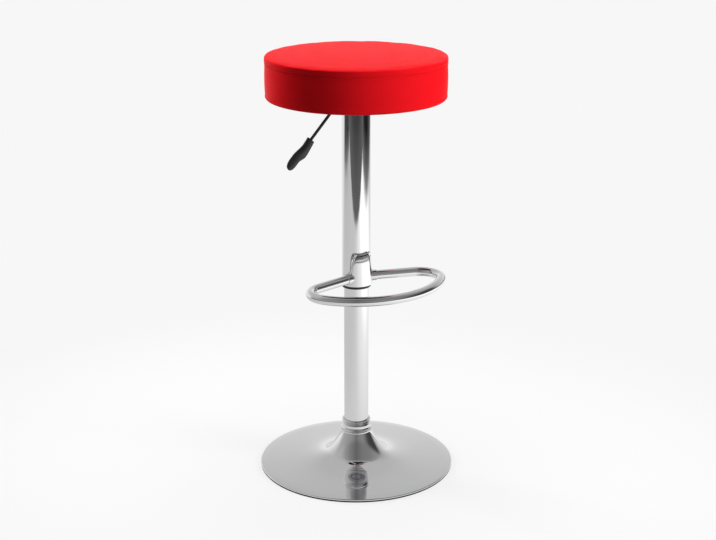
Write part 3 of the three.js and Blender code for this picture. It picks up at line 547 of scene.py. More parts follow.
def swept(line, radius, sides, across, closed_ends=True):
    rings = []
    for i, station in enumerate(line):
        before, after = line[max(i - 1, 0)], line[min(i + 1, len(line) - 1)]
        along = (after - before).normalized()
        side = along.cross(across).normalized()
        rings.append(circle(station, radius, side, across, sides))
    return skinned(rings, closed_ends)


short_rod = swept([Vector((0, 0, 0)), Vector((9, 0, 0))], 1.0, 8, Vector((0, 0, 1)))
print("a swept rod has", len(short_rod[1]), "faces")


# %% Join shapes, and place points on circles
def merged(*shapes):
    points, faces = [], []
    for more_points, more_faces in shapes:
        start = len(points)
        points += more_points
        faces += [[corner + start for corner in face] for face in more_faces]
    return points, faces


def round_axis(angle, radius, height_mm):
    return Vector((radius * math.cos(angle), radius * math.sin(angle), height_mm))


def arc(centre, radius, start, end, steps):
    angles = [math.radians(start + (end - start) * i / steps) for i in range(steps + 1)]
    return [(centre[0] + radius * math.cos(a), centre[1] + radius * math.sin(a)) for a in angles]


print("a quarter turn ends at", [round(v, 3) for v in arc((0, 0), 10.0, 0.0, 90.0, 4)[-1]])

# %% Make an object of them
smooth_up_to = 38.0  # degrees between faces; a steeper edge stays sharp
broken_from = 32.0  # degrees between faces; a steeper edge is broken, where that is asked for


def make_piece(name, shape, slot, body, replaced=(), weld=True):
    points, faces = shape
    mesh = bpy.data.meshes.new(name)
    mesh.from_pydata([Vector(point) * MM for point in points], [], faces)
    work = bmesh.new()
    work.from_mesh(mesh)
    if weld:
        bmesh.ops.remove_doubles(work, verts=work.verts, dist=1e-7)
    bmesh.ops.recalc_face_normals(work, faces=work.faces)
    work.to_mesh(mesh)
    work.free()
    mesh.shade_smooth()
    mesh.set_sharp_from_angle(angle=math.radians(smooth_up_to))
    mesh.materials.append(finishes[slot])
    made = bpy.data.objects.new(name, mesh)
    scene.collection.objects.link(made)
    if replaced:
        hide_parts(*replaced)
    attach(made, body)
    return made


def broken_edges(made, width):
    bevel = made.modifiers.new("broken_edges", "BEVEL")
    bevel.width = width * MM
    bevel.segments = 2
    bevel.limit_method = "ANGLE"
    bevel.angle_limit = math.radians(broken_from)
    bevel.harden_normals = True


print("edges steeper than", smooth_up_to, "degrees stay sharp")

# %% [markdown]
# ## The base
# The base is one spun dish: a flat skirt that swells into a trumpet neck. Spinning leaves a smooth skin
# with a rolled rim, so a turned outline is the natural way. The outline is the same as in the solids: a
# straight skirt, a long shallow flare and a steep neck, two Bezier curves that meet without a kink. Here
# they have many more steps, so that the reflections run smoothly too.

# %% Bezier curves for spun metal
def bezier(points, steps):
    made = []
    for i in range(steps + 1):
        level = [Vector(p) for p in points]
        while len(level) > 1:
            level = [a.lerp(b, i / steps) for a, b in zip(level, level[1:])]
        made.append((level[0].x, level[0].y))
    return made


def offset_inwards(outline, distance):
    made = []
    for i, point in enumerate(outline):
        before, after = outline[max(i - 1, 0)], outline[min(i + 1, len(outline) - 1)]
        along = Vector((after[0] - before[0], after[1] - before[1])).normalized()
        made.append((point[0] - along.y * distance, point[1] + along.x * distance))
    return made


print("a curve's middle:", bezier([(0, 0), (0, 1), (1, 1)], 2)[1])

# %% Spin the dish
base_radius = 200.0
rim_bottom = 3.4
rim_side = 0.9
rim_round = 2.2
dish_wall = 2.0
rim = arc((base_radius - rim_round, rim_bottom + rim_side), rim_round, 0.0, 85.0, 8)
flare = bezier([(140.0, 10.4), (108.0, 12.7), (76.0, 14.6), (62.0, 26.5)], 30)
neck = bezier([(62.0, 26.5), (53.5, 33.7), (38.4, 54.0), (32.0, 73.0)], 30)
skirt = bezier([rim[-1], flare[0]], 3)[1:3]
dish_outside = [(base_radius, rim_bottom), *rim, *skirt, *flare, *neck[1:]]
dish_inside = offset_inwards(dish_outside, dish_wall)
dish = make_piece(
    "dish_spun",
    turned_closed([*dish_outside, *reversed(dish_inside)], 192),
    "chrome",
    "root",
    ["base_dish"],
)
print("dish", round(dish.dimensions.x * 1000, 1), "mm across")

# %% [markdown]
# Under the rim sits a black rubber ring. It keeps the edge off the floor, and shows in the photograph
# as a thin dark line. Its foot has two fine grooves, so that it grips.

# %% Mould the floor ring
ring_outer = base_radius - 0.3
ring_inner = 190.7
ring_ledge = 3.1
ring_lip_top = 3.5
ring_outline = [
    (ring_inner, 0.6),
    (191.3, 0.0),
    (193.4, 0.0),
    (193.9, 0.5),
    (194.4, 0.0),
    (196.0, 0.0),
    (196.5, 0.5),
    (197.0, 0.0),
    (ring_outer - 0.5, 0.0),
    (ring_outer, 0.5),
    (ring_outer, ring_ledge),
    (197.7, ring_ledge),
    (197.3, ring_lip_top),
    (194.7, ring_lip_top),
    (194.3, 3.0),
    (194.3, 2.2),
    (ring_inner, 2.2),
]
floor_ring = make_piece(
    "floor_ring_moulded", turned_closed(ring_outline, 160), "black_rubber", "root", ["base_floor_ring"]
)
print("ring stands on", round(min(v.co.z for v in floor_ring.data.vertices) * 1000, 2), "mm")

# %% [markdown]
# Out of sight under the dish, a round plate braces the thin metal around the column's socket. The measured
# solid has few sides. Somebody who tips the stool over sees its edge, so it is turned again, with many
# sides and with the small edge break that a lathe tool leaves.

# %% Turn the brace plate
plate_bore = 30.0
plate_radius = 102.0
plate_bottom = 8.6
plate_top = 11.6
edge_break = 0.5
plate_outline = [
    (plate_bore, plate_bottom + edge_break),
    (plate_bore + edge_break, plate_bottom),
    (plate_radius - edge_break, plate_bottom),
    (plate_radius, plate_bottom + edge_break),
    (plate_radius, plate_top - edge_break),
    (plate_radius - edge_break, plate_top),
    (plate_bore, plate_top),
]
brace_plate = make_piece(
    "brace_plate_turned", turned_closed(plate_outline, 160), "bare_steel", "root", ["base_brace_plate"]
)
print("brace plate", round(brace_plate.dimensions.x * 1000, 1), "mm across")

# %% [markdown]
# A trim collar hides the joint between neck and column: a thin bright flange, a hollow waist, and a
# sleeve that ends in a rounded lip.

# %% Turn the collar
collar_bottom = 73.3
collar_top = 98.0
socket_bore = 25.3
flange = [(33.2, collar_bottom), (33.9, 73.7), (33.6, 76.2), (33.3, 76.9), (32.7, 77.3)]
waist = bezier([(32.2, 77.5), (27.9, 78.0), (27.5, 83.0), (27.7, 88.0)], 12)
sleeve = bezier([(27.9, 89.0), (28.2, 93.0), (29.2, 93.5)], 6)
lip = arc((27.9, collar_top - 1.6), 1.5, -20.0, 90.0, 8)
collar_outline = [
    (socket_bore, collar_bottom),
    *flange,
    *waist,
    *sleeve,
    *lip,
    (25.7, collar_top - 0.1),
    (socket_bore, collar_top - 0.5),
]
collar = make_piece("collar_turned", turned_closed(collar_outline, 128), "chrome", "root", ["base_collar"])
print("collar", round(collar.dimensions.z * 1000, 1), "mm high")

# %% [markdown]
# ## The column
# Two chrome tubes telescope. The lower one is fixed in the base, and narrows by a hair where it is
# pressed into its socket. The outer one hangs from the seat, over a black guide bush.

# %% Draw the column
column_top = 500.0
column_foot = 16.0
column_radius = 25.0
column_bore = 23.5
taper_top = 73.0
column_outline = [
    (column_bore, column_top - 0.6),
    (24.0, column_top),
    (24.5, column_top),
    (column_radius, column_top - 0.6),
    (column_radius, taper_top),
    (24.4, column_foot),
    (22.9, column_foot),
    (column_bore, taper_top),
]
column = make_piece(
    "column_drawn", turned_closed(column_outline[::-1], 128), "chrome", "root", ["column_tube"]
)
print("column", round(column.dimensions.z * 1000, 1), "mm long")

# %% Draw the cover tube
cover_radius = 28.5
cover_bore = 27.0
cover_low, cover_high = [corner.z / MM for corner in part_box("cover_tube")]
cover_edges = [
    (cover_bore, cover_low + 0.5),
    (27.4, cover_low),
    (28.0, cover_low),
    (cover_radius, cover_low + 0.5),
    (cover_radius, cover_high - 0.5),
    (28.0, cover_high),
    (27.4, cover_high),
    (cover_bore, cover_high - 0.5),
]
make_piece("cover_tube_drawn", turned_closed(cover_edges, 128), "chrome", "seat", ["cover_tube"])
print("cover tube from", round(cover_low, 1), "to", round(cover_high, 1), "mm")

# %% [markdown]
# Two black mouldings close the cover tube. The guide bush sits in its lower end and slides on the column,
# and its flange shows as a thin black line. The cap fills the upper end, under the mechanism.

# %% Mould the bush
bush_low, bush_high = [corner.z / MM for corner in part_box("cover_bush")]
bush_bore = 25.5
plug_radius = 26.7
bush_flange = 29.5
flange_top = bush_low + 4.0
bush_outline = [
    (bush_bore, bush_low + 0.4),
    (25.9, bush_low),
    (29.0, bush_low),
    (bush_flange, bush_low + 0.5),
    (bush_flange, bush_low + 3.5),
    (29.0, flange_top),
    (plug_radius, flange_top),
    (plug_radius, bush_high - 0.6),
    (26.4, bush_high),
    (bush_bore, bush_high),
]
make_piece("cover_bush_moulded", turned_closed(bush_outline, 96), "black_plastic", "seat", ["cover_bush"])
print("bush", round(bush_high - bush_low, 1), "mm high")

# %% Mould the cap
cap_low, cap_high = [corner.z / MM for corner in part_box("cover_cap")]
cap_bore = 18.0
cap_outline = [
    (cap_bore, cap_low),
    (26.2, cap_low),
    (plug_radius, cap_low + 0.6),
    (plug_radius, cap_high - 3.1),
    (28.2, cap_high - 3.1),
    (cover_radius, cap_high - 2.8),
    (cover_radius, cap_high - 0.9),
    (27.7, cap_high),
    (cap_bore + 0.4, cap_high),
    (cap_bore, cap_high - 0.4),
]
make_piece("cover_cap_moulded", turned_closed(cap_outline, 96), "black_plastic", "seat", ["cover_cap"])
print("cap", round(cap_high - cap_low, 1), "mm high")

# %% [markdown]
# ## The footrest
# One tube, 19 mm across, bent into a loop: two straight arms, two tight corners and a long front arc
# about the column. Its line is drawn flat, then a round section is swept along it. The tube is hollow,
# as real ones are, though its ends are hidden in the bracket's ears.

# %% Draw the loop's line
footrest_height = 410.2
tube_radius = 9.5
tube_wall = 1.2
front_radius = 172.0
corner_radius = 42.5
arm_slant = 15.0
arm_angle = math.radians(arm_slant)
arm_start = Vector((31.5, -19.0, footrest_height))
arm_along = Vector((math.cos(arm_angle), -math.sin(arm_angle), 0))
inward = Vector((-math.sin(arm_angle), -math.cos(arm_angle), 0))
corner_foot = Vector((arm_start.x, arm_start.y, 0)) + inward * corner_radius
reach = front_radius - corner_radius
shadow = corner_foot.dot(arm_along)
arm_length = -shadow + math.sqrt(shadow**2 - corner_foot.length_squared + reach**2)
corner_centre = corner_foot + arm_along * arm_length
corner_end = math.degrees(math.atan2(corner_centre.y, corner_centre.x))


def at_footrest(flat):
    return [Vector((x, y, footrest_height)) for x, y in flat]


arm = [arm_start.lerp(arm_start + arm_along * arm_length, i / 12) for i in range(12)]
corner = at_footrest(arc(corner_centre, corner_radius, 90.0 - arm_slant, corner_end, 28))
front = at_footrest(arc((0, 0), front_radius, corner_end, -90.0, 40))
half_loop = [*arm, *corner, *front[1:]]


def mirror_point(point):
    return Vector((-point.x, point.y, point.z))


loop = [*half_loop, *[mirror_point(p) for p in reversed(half_loop[:-1])]]
print("tube", round(sum((b - a).length for a, b in zip(loop, loop[1:]))), "mm long")

# %% Bend the tube
upright = Vector((0, 0, 1))


def pipe(line, outer_radius, inner_radius, sides=40):
    outer = swept(line, outer_radius, sides, upright, closed_ends=False)
    inner = swept(line, inner_radius, sides, upright, closed_ends=False)
    points, faces = merged(outer, inner)
    shift = len(outer[0])
    for start in (0, shift - sides):
        for i in range(sides):
            j = (i + 1) % sides
            faces.append([start + i, start + j, shift + start + j, shift + start + i])
    return points, faces


bent_tube = pipe(loop, tube_radius, tube_radius - tube_wall)
footrest = make_piece("footrest_tube_bent", bent_tube, "chrome", "seat", ["footrest_ring"])
print("footrest", [round(v * 1000) for v in footrest.dimensions], "mm")

# %% [markdown]
# The bracket is a pressed saddle that wraps the cover tube. It is wide at the foot and narrow at the
# top, with rounded flanks and a stepped lip along its top edge. It is a skin over rings of points: each
# ring runs across the outside and back along the inside.

# %% The saddle's form
bracket_low, bracket_high = [corner.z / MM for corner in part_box("footrest_bracket")]
bracket_rise = bracket_high - bracket_low
bracket_inside = 28.8
foot_half_angle = 64.0
top_half_angle = 38.0
bracket_thick = 4.3
bracket_thin = 1.0
edge_round = 6.0
lip_high = 8.5
lip_step = 1.5
lip_round = 1.0
lip_share = 0.62


def saddle_half_angle(up):
    return math.radians(foot_half_angle + (top_half_angle - foot_half_angle) * up)


def saddle_standoff(across, up):
    from_side = (1 - abs(2 * across - 1)) * saddle_half_angle(up) * cover_radius
    side = min(from_side / edge_round, 1)
    from_top = (1 - up) * bracket_rise
    step = min(max((from_top - lip_high) / lip_step + 1.0, 0.0), 1.0)
    rounded = min(from_top / lip_round, 1.0)
    top = (lip_share + (1 - lip_share) * step * step * (3 - 2 * step)) * math.sqrt(rounded * (2 - rounded))
    return bracket_thin + (bracket_thick - bracket_thin) * math.sqrt(side * (2 - side)) * top


def saddle_point(across, up, standoff):
    angle = (2 * across - 1) * saddle_half_angle(up)
    radius = bracket_inside + standoff
    return Vector((radius * math.sin(angle), -radius * math.cos(angle), bracket_low + up * bracket_rise))


print("saddle's face stands", round(saddle_standoff(0.5, 0.3), 1), "mm off its inside")


# %% Press the saddle
def eased(steps):
    return [0.5 - 0.5 * math.cos(math.pi * i / steps) for i in range(steps + 1)]


saddle_rings = []
across_steps = eased(48)
lip_foot = 1 - (lip_high + 0.5) / bracket_rise
below_lip = [lip_foot * i / 16 for i in range(16)]
over_lip = [lip_foot + (1 - lip_foot) * i / 28 for i in range(29)]
for up in [*below_lip, *over_lip]:
    outer = [saddle_point(across, up, saddle_standoff(across, up)) for across in across_steps]
    inner = [saddle_point(across, up, 0.0) for across in reversed(across_steps)]
    saddle_rings.append([*outer, *inner])
saddle_shape = skinned(saddle_rings)
print("saddle", round(bracket_rise), "mm high")

# %% [markdown]
# Two short ears stand out of the saddle and take the ends of the loop. Each is a tube with a rounded
# mouth, a hair wider inside than the footrest's tube.

# %% Form the ears
ear_bore = tube_radius + 0.3
ear_radius = ear_bore + 1.2
ear_sides = 48


def ear_shape(direction, start):
    line = [start + direction * t for t in (-9.0, -4.0, 0.0, 2.4, 2.9)]
    outer = swept(line, ear_radius, ear_sides, upright, closed_ends=False)
    rings = []
    for t, radius in ((2.9, ear_radius - 0.1), (3.0, ear_radius - 0.5), (3.0, ear_bore)):
        centre = start + direction * t
        short = [centre, centre + direction * 0.01]
        rings.append(swept(short, radius, ear_sides, upright, False)[0][:ear_sides])
    bore = swept([start + direction * 3.0, start], ear_bore, ear_sides, upright, closed_ends=False)
    return merged(outer, skinned(rings, False), bore)


left_along = mirror_point(arm_along)
left_start = mirror_point(arm_start)
bracket = make_piece(
    "footrest_bracket_pressed",
    merged(saddle_shape, ear_shape(arm_along, arm_start), ear_shape(left_along, left_start)),
    "chrome",
    "seat",
    ["footrest_bracket"],
)
print("bracket", [round(v * 1000, 1) for v in bracket.dimensions], "mm")

# %% [markdown]
# A bead of weld runs round the root of each ear and over each tube's end. The root's line is where the
# ear meets the saddle. It is found by halving: from a point inside the saddle and one outside, the
# middle replaces the one that it agrees with, until the two are a hair apart. A small circle then runs
# along the line, and swells and shrinks a little, as a weld's ripples do.

# %% Find where an ear meets the saddle
def surface_distance(point):
    flat = math.hypot(point.x, point.y)
    angle = math.atan2(point.x, -point.y)
    up = min(max((point.z - bracket_low) / bracket_rise, 0.0), 1.0)
    across = 0.5 + 0.5 * angle / saddle_half_angle(up)
    if not 0.0 < across < 1.0:
        return flat - bracket_inside
    return flat - bracket_inside - saddle_standoff(across, up)


search_from = -24.0
search_to = 30.0
furthest_bead = 2.0


def bead_line(direction, start, radius, count):
    side = direction.cross(upright).normalized()
    line = []
    for i in range(count):
        angle = 2 * math.pi * i / count
        spoke = radius * (math.cos(angle) * side + math.sin(angle) * upright)
        low, high = search_from, search_to
        for _ in range(30):
            middle = (low + high) / 2
            if surface_distance(start + spoke + direction * middle) > 0:
                high = middle
            else:
                low = middle
        line.append(start + spoke + direction * min(high, furthest_bead))
    return line


spot = Vector((0, -40.0, bracket_low + 10.0))
print("a spot 40 mm out stands", round(surface_distance(spot), 1), "mm off the saddle")


# %% Lay the weld beads
ripple_length = 5  # stations from one ripple to the next


def bead_shape(line, radius, ripple, sides=10):
    count = len(line)
    rings = []
    centre = sum(line, Vector()) / count
    for i, point in enumerate(line):
        along = (line[(i + 1) % count] - line[i - 1]).normalized()
        out = (point - centre).normalized()
        across_bead = along.cross(out).normalized()
        size = radius * (1 + ripple * math.sin(2 * math.pi * i / ripple_length))
        rings.append(circle(point, size, out, across_bead, sides))
    rings.append(rings[0])
    return skinned(rings, False)


for name, direction, start in (("right", arm_along, arm_start), ("left", left_along, left_start)):
    root_bead = bead_shape(bead_line(direction, start, ear_radius, 100), 1.1, 0.12)
    side = direction.cross(upright).normalized()
    mouth_line = circle(start + direction * 3.1, ear_bore + 0.3, side, upright, 90)
    mouth_bead = bead_shape(mouth_line, 0.75, 0.1)
    beads = make_piece(f"weld_beads_{name}", merged(root_bead, mouth_bead), "chrome", "seat")
    print("beads", name, [round(v * 1000, 1) for v in beads.dimensions], "mm")

# %% [markdown]
# ## The lever
# A bent black rod runs out of the mechanism through a slot and slopes down to a moulded grip. The rod is
# swept along its line. The grip is a loft: rings of points whose height, depth and thickness swell and
# taper so that a finger finds its hollow.

# %% Bend the rod
lever_height = 762.5
rod_radius = 3.0
lever_slant = 47.4
lever_slope = math.radians(lever_slant)
rod_length = 84.2
rod_in_grip = 42.0
eye_radius = 6.0
eye_bore = 2.8
elbow = Vector((-44.4, 0, lever_height))
slope_along = Vector((-math.cos(lever_slope), 0, -math.sin(lever_slope)))
grip_start = elbow + slope_along * rod_length
bend_radius = 10.0
bend_centre = (elbow.x + bend_radius * math.tan(lever_slope / 2), lever_height - bend_radius)
bend = [Vector((x, 0, z)) for x, z in arc(bend_centre, bend_radius, 90.0, 90.0 + lever_slant, 14)]
level_part = [Vector((2.5 - t, 0, lever_height)) for t in (0.0, 0.5, 1.5, 10.0, 20.0, 30.0)]
slope_part = [bend[-1].lerp(grip_start + slope_along * rod_in_grip, t) for t in (0.2, 0.5, 0.8, 1.0)]
rod_line = [*level_part, *bend, *slope_part]
sideways_axis = Vector((0, 1, 0))
rod_shape = swept(rod_line, rod_radius, 24, sideways_axis)
eye_line = [Vector((-25.0, y, lever_height)) for y in (-6.0, 6.0)]
lever_shape = merged(rod_shape, pipe(eye_line, eye_radius, eye_bore))
lever_rod = make_piece("lever_rod_bent", lever_shape, "black_steel", "lever", ["lever_rod"])
broken_edges(lever_rod, 0.4)
print("lever rod reaches", round(min(v.co.x for v in lever_rod.data.vertices) * 1000), "mm")

# %% Smooth curves through the grip's stations
grip_length = 73.4
stations = [0, 0.12, 0.25, 0.37, 0.47, 0.56, 0.66, 0.76, 0.86, 0.93, 0.98, 1]
upper_shares = [0.73, 0.64, 0.58, 0.7, 0.85, 0.96, 1, 1, 0.93, 0.76, 0.48, 0.16]
lower_shares = [0.66, 0.78, 0.9, 0.99, 1, 0.8, 0.6, 0.6, 0.58, 0.48, 0.3, 0.09]
thick_shares = [0.92, 0.96, 1, 1, 0.96, 0.9, 0.84, 0.78, 0.7, 0.58, 0.4, 0.14]


def through(values, place):
    last = len(values) - 1
    row = max(i for i in range(last + 1) if stations[i] <= place or i == 0)
    row = min(row, last - 1)
    gap = stations[row + 1] - stations[row]
    t = (place - stations[row]) / gap

    def slope_at(i):
        a, b = max(i - 1, 0), min(i + 1, last)
        return (values[b] - values[a]) / (stations[b] - stations[a]) * gap

    first, second = values[row], values[row + 1]
    value = (2 * t**3 - 3 * t**2 + 1) * first + (t**3 - 2 * t**2 + t) * slope_at(row)
    value += (3 * t**2 - 2 * t**3) * second + (t**3 - t**2) * slope_at(row + 1)
    return min(max(value, 0.04), 1.0)


print("upper share half way:", round(through(upper_shares, 0.5), 3))

# %% Mould the grip
upper_depth = 11.4
lower_depth = 13.2
half_width = 7.5
grip_up = Vector((slope_along.z, 0, -slope_along.x))
along_grip = [0.9 * i / 44 for i in range(44)]
round_tip = [0.9 + 0.1 * math.sin(math.pi / 2 * i / 14) for i in range(15)]
grip_rings = []
for place_along in [*along_grip, *round_tip]:
    middle = grip_start + slope_along * grip_length * place_along
    ring = []
    for k in range(48):
        angle = 2 * math.pi * k / 48
        lift = math.cos(angle)
        if lift > 0:
            depth = upper_depth * through(upper_shares, place_along)
        else:
            depth = lower_depth * through(lower_shares, place_along)
        part_line = 0.12 * math.exp(-((math.sin(angle) * 9) ** 2))
        wide = half_width * through(thick_shares, place_along) * math.sin(angle)
        ring.append(middle + grip_up * (depth * lift * (1 - part_line / 11)) + sideways_axis * wide)
    grip_rings.append(ring)
grip = make_piece("lever_grip_moulded", skinned(grip_rings), "black_plastic", "lever", ["lever_grip"])
print("grip's end", round(min(v.co.z for v in grip.data.vertices) * 1000), "mm above the floor")

# %% [markdown]
# ## The seat
# Foam over a plywood board, in a sewn vinyl cover: a round top panel that wraps over the edge, and a
# side band sewn to it a little below. The seam pulls both in to a crease. Underneath, the band is
# folded a little way in under the board and gathered into small tucks, and a felt dust cloth hides the rest.
#
# The cover is a cloth that foam pushes from inside. It starts as a turned shell a little smaller than
# the finished seat, held along the seam and under the board. Cloth simulation with a little pressure
# fills it, and a limit on how far each point may move keeps it inside the measured box.

# %% The cover before it is filled
seat_radius = 180.0
seat_bottom = 773.5
seam_height = 844.5
seat_edge_top = 857.0
seat_crown = 4.5
top_round = 3.6
bottom_round = 6.0
side_draw = 1.6
tuck_radius = 162.0
hem_width = 8.0
band_bow = 1.3
slack = 0.9


def cover_outline():
    hem = [(tuck_radius + hem_width * i / 5, seat_bottom) for i in range(5)]
    round_centre = (seat_radius - side_draw - bottom_round, seat_bottom + bottom_round)
    under = arc(round_centre, bottom_round, -90.0, 0.0, 8)
    band_low, band_high = under[-1][1], seam_height - 2.6
    band = []
    for i in range(1, 22):
        t = i / 22
        bow = seat_radius - side_draw + band_bow * math.sin(math.pi * t) ** 0.7 + 0.1 * t
        band.append((bow - slack, band_low + (band_high - band_low) * t))
    seam = [
        (178.6, seam_height - 2.2), (177.7, seam_height - 0.9), (177.1, seam_height),
        (177.6, seam_height + 0.8), (178.9, seam_height + 1.9), (179.4, seam_height + 3.2),
    ]
    edge_centre = (seat_radius - top_round, seat_edge_top - top_round)
    edge = arc(edge_centre, top_round - 0.3, 0.0, 90.0, 12)
    crown = []
    flat = seat_radius - top_round
    for i in range(1, 33):
        share = 1 - i / 32
        crown.append((flat * share, seat_edge_top - 0.3 + (seat_crown - 0.6) * (1 - share**2)))
    return [*hem, *under, *band, *seam, *edge, *crown]


cover_line = cover_outline()
cover_points, cover_faces = turned(cover_line, 144)
print("cover has", len(cover_points), "points")


# %% Lay out the blank, and pin it where it is sewn and folded
def cover_blank(points, faces, held):
    mesh = bpy.data.meshes.new("cover_cut")
    mesh.from_pydata([Vector(p) * MM for p in points], [], faces)
    work = bmesh.new()
    work.from_mesh(mesh)
    bmesh.ops.recalc_face_normals(work, faces=work.faces)
    top_faces = [face for face in work.faces if face.calc_center_median().z > 0.85]
    if sum(face.normal.z for face in top_faces) < 0:
        bmesh.ops.reverse_faces(work, faces=work.faces)
    work.to_mesh(mesh)
    work.free()
    blank = bpy.data.objects.new("cover_cut", mesh)
    scene.collection.objects.link(blank)
    group = blank.vertex_groups.new(name="held")
    for i, point in enumerate(points):
        if held(point):
            group.add([i], 1.0, "REPLACE")
    return blank


def held_in_place(point):
    radius = math.hypot(point[0], point[1])
    return point[2] < seat_bottom + 6 or (abs(point[2] - seam_height) < 1.2 and radius > 170)


print(sum(held_in_place(point) for point in cover_points), "points are held")


# %% Fill the cover with a cloth simulation
filling_frames = 20
filling_pressure = 4.0
furthest_move = 1.2


def filled(blank, pressure, furthest):
    cloth = blank.modifiers.new("filling", "CLOTH")
    vinyl = cloth.settings
    vinyl.vertex_group_mass = "held"
    vinyl.use_pressure = True
    vinyl.uniform_pressure_force = pressure
    vinyl.effector_weights.gravity = 0
    vinyl.tension_stiffness = 40
    vinyl.compression_stiffness = 40
    vinyl.bending_stiffness = 4
    cloth.point_cache.frame_start = 1
    cloth.point_cache.frame_end = filling_frames
    for moment in range(1, filling_frames + 1):
        scene.frame_set(moment)
    depsgraph = bpy.context.evaluated_depsgraph_get()
    swollen = [v.co.copy() for v in blank.evaluated_get(depsgraph).data.vertices]
    scene.frame_set(1)
    moved = []
    for start, end in zip(blank.data.vertices, swollen):
        step = end - start.co
        if step.length > furthest * MM:
            step *= furthest * MM / step.length
        moved.append((start.co + step) / MM)
    bpy.data.objects.remove(blank)
    return moved


blank = cover_blank(cover_points, cover_faces, held_in_place)
swollen_points = filled(blank, filling_pressure, furthest_move)
largest = max((Vector(a) - b).length for a, b in zip(cover_points, swollen_points))
print("the filling moved the cover by up to", round(largest, 2), "mm")

# %% [markdown]
# The real cover isn't perfectly smooth: it puckers where the thread pulls it into the seam, and gathers
# into tucks under the board. Both are small moves of the points after the filling. A noise field gives
# them, so they come out the same each time.

# %% Pucker the seam and gather the hem
pucker_depth = 0.16
unevenness = 0.05
tuck_depth = 0.3
tuck_count = 54
side_from = 172.0  # beyond this radius a point is on the seat's side


def puckered(point):
    angle = math.atan2(point.y, point.x)
    radius = math.hypot(point.x, point.y)
    near_seam = math.exp(-(((point.z - seam_height) / 5.0) ** 2)) if radius > side_from else 0.0
    uneven = field.noise(Vector((math.cos(angle) * 9, math.sin(angle) * 9, point.z * 0.03)))
    ripple = field.noise(Vector((math.cos(angle) * 30, math.sin(angle) * 30, 5.0)))
    push = near_seam * (pucker_depth * ripple) + unevenness * uneven * (radius > side_from)
    under_board = max(0.0, min(1.0, (174.0 - radius) / 6.0)) if point.z < seat_bottom + 4 else 0.0
    tuck = tuck_depth * under_board * max(0.0, math.sin(angle * tuck_count + 2.0 * uneven)) ** 3
    outwards = (point.x / max(radius, 1) * push, point.y / max(radius, 1) * push)
    return Vector((point.x + outwards[0], point.y + outwards[1], point.z - tuck))


seat_cover = make_piece(
    "seat_cover_sewn",
    ([puckered(p) for p in swollen_points], cover_faces),
    "red_vinyl",
    "seat",
    ["seat_cover"],
)
skin = seat_cover.modifiers.new("vinyl_thickness", "SOLIDIFY")
skin.thickness = 1.0 * MM
skin.offset = -1
smooth = seat_cover.modifiers.new("smooth_skin", "SUBSURF")
smooth.levels = 1
smooth.render_levels = 1
seat_cover.data.set_sharp_from_angle(angle=math.radians(180))
print("seat cover", [round(v * 1000, 1) for v in seat_cover.dimensions], "mm")

# %% [markdown]
# A lock stitch holds the top panel to the band. The thread is the vinyl's own red, and dips into the
# crease, so it shows only from close by. Each stitch is a short capsule, set a little askew as a
# sewing machine leaves it.

# %% Sew the seam
stitch_pitch = 3.6
stitch_length = 2.7
thread_radius = 0.32


def capsule(start, end, radius, sides=6):
    along = (end - start).normalized()
    side = along.orthogonal().normalized()
    up = along.cross(side)
    rings = []
    for place_along, share in ((0.0, 0.35), (0.12, 0.85), (0.5, 1.0), (0.88, 0.85), (1.0, 0.35)):
        centre = start.lerp(end, place_along)
        rings.append(circle(centre, radius * share, side, up, sides))
    return skinned(rings)


seam_radius = 178.35
stitch_count = int(2 * math.pi * seam_radius / stitch_pitch)
half_stitch = stitch_length / seam_radius / 2
stitches = []
for i in range(stitch_count):
    angle = 2 * math.pi * i / stitch_count
    start = round_axis(angle - half_stitch, seam_radius, seam_height - 1.75)
    end = round_axis(angle + half_stitch, seam_radius, seam_height - 1.45)
    stitches.append(capsule(start, end, thread_radius))
make_piece("seam_thread", merged(*stitches), "red_vinyl", "seat")
print(stitch_count, "stitches")

# %% [markdown]
# The foam pad fills the cover, and reaches down round the board's edge. It is cut and not moulded, so its
# top is a little uneven.

# %% Cut the foam pad
foam_low = 781.0
board_top = 787.3
board_side = 170.3
foam_crown = 3.6
foam_outline = [
    (0.0, board_top),
    (board_side, board_top),
    (board_side, foam_low),
    (176.9, foam_low),
    (177.1, 800.0),
    (177.1, 824.0),
    (176.4, 838.0),
    (175.2, 844.5),
    (176.6, 848.0),
    *arc((173.0, 851.4), 3.6, 0.0, 84.0, 6),
    *[(171.0 * (1 - i / 10), 855.1 + foam_crown * (1 - (1 - i / 10) ** 2)) for i in range(11)],
]
foam_pad = make_piece("seat_foam_pad", turned(foam_outline, 96), "foam", "seat", ["seat_foam"])
for vertex in foam_pad.data.vertices:
    swell = field.noise(vertex.co * 40) * 0.0003
    if vertex.co.z > 0.8:
        vertex.co.z += swell
print("foam pad", round(foam_pad.dimensions.z * 1000, 1), "mm high")

# %% [markdown]
# ## Under the seat
# Seen from below: the felt dust cloth, stapled over the cover's hem so that hardly any red is left to
# mirror in the chrome, the black seat plate with its four bolts, and the pressed housing that the lever
# comes out of.

# %% Cut the dust cloth
bolt_spread = 58.0
cloth_radius = 169.0
cloth_low = 774.0
cloth_drop = 1.2
drop_from = 150.0
drop_over = 11.0


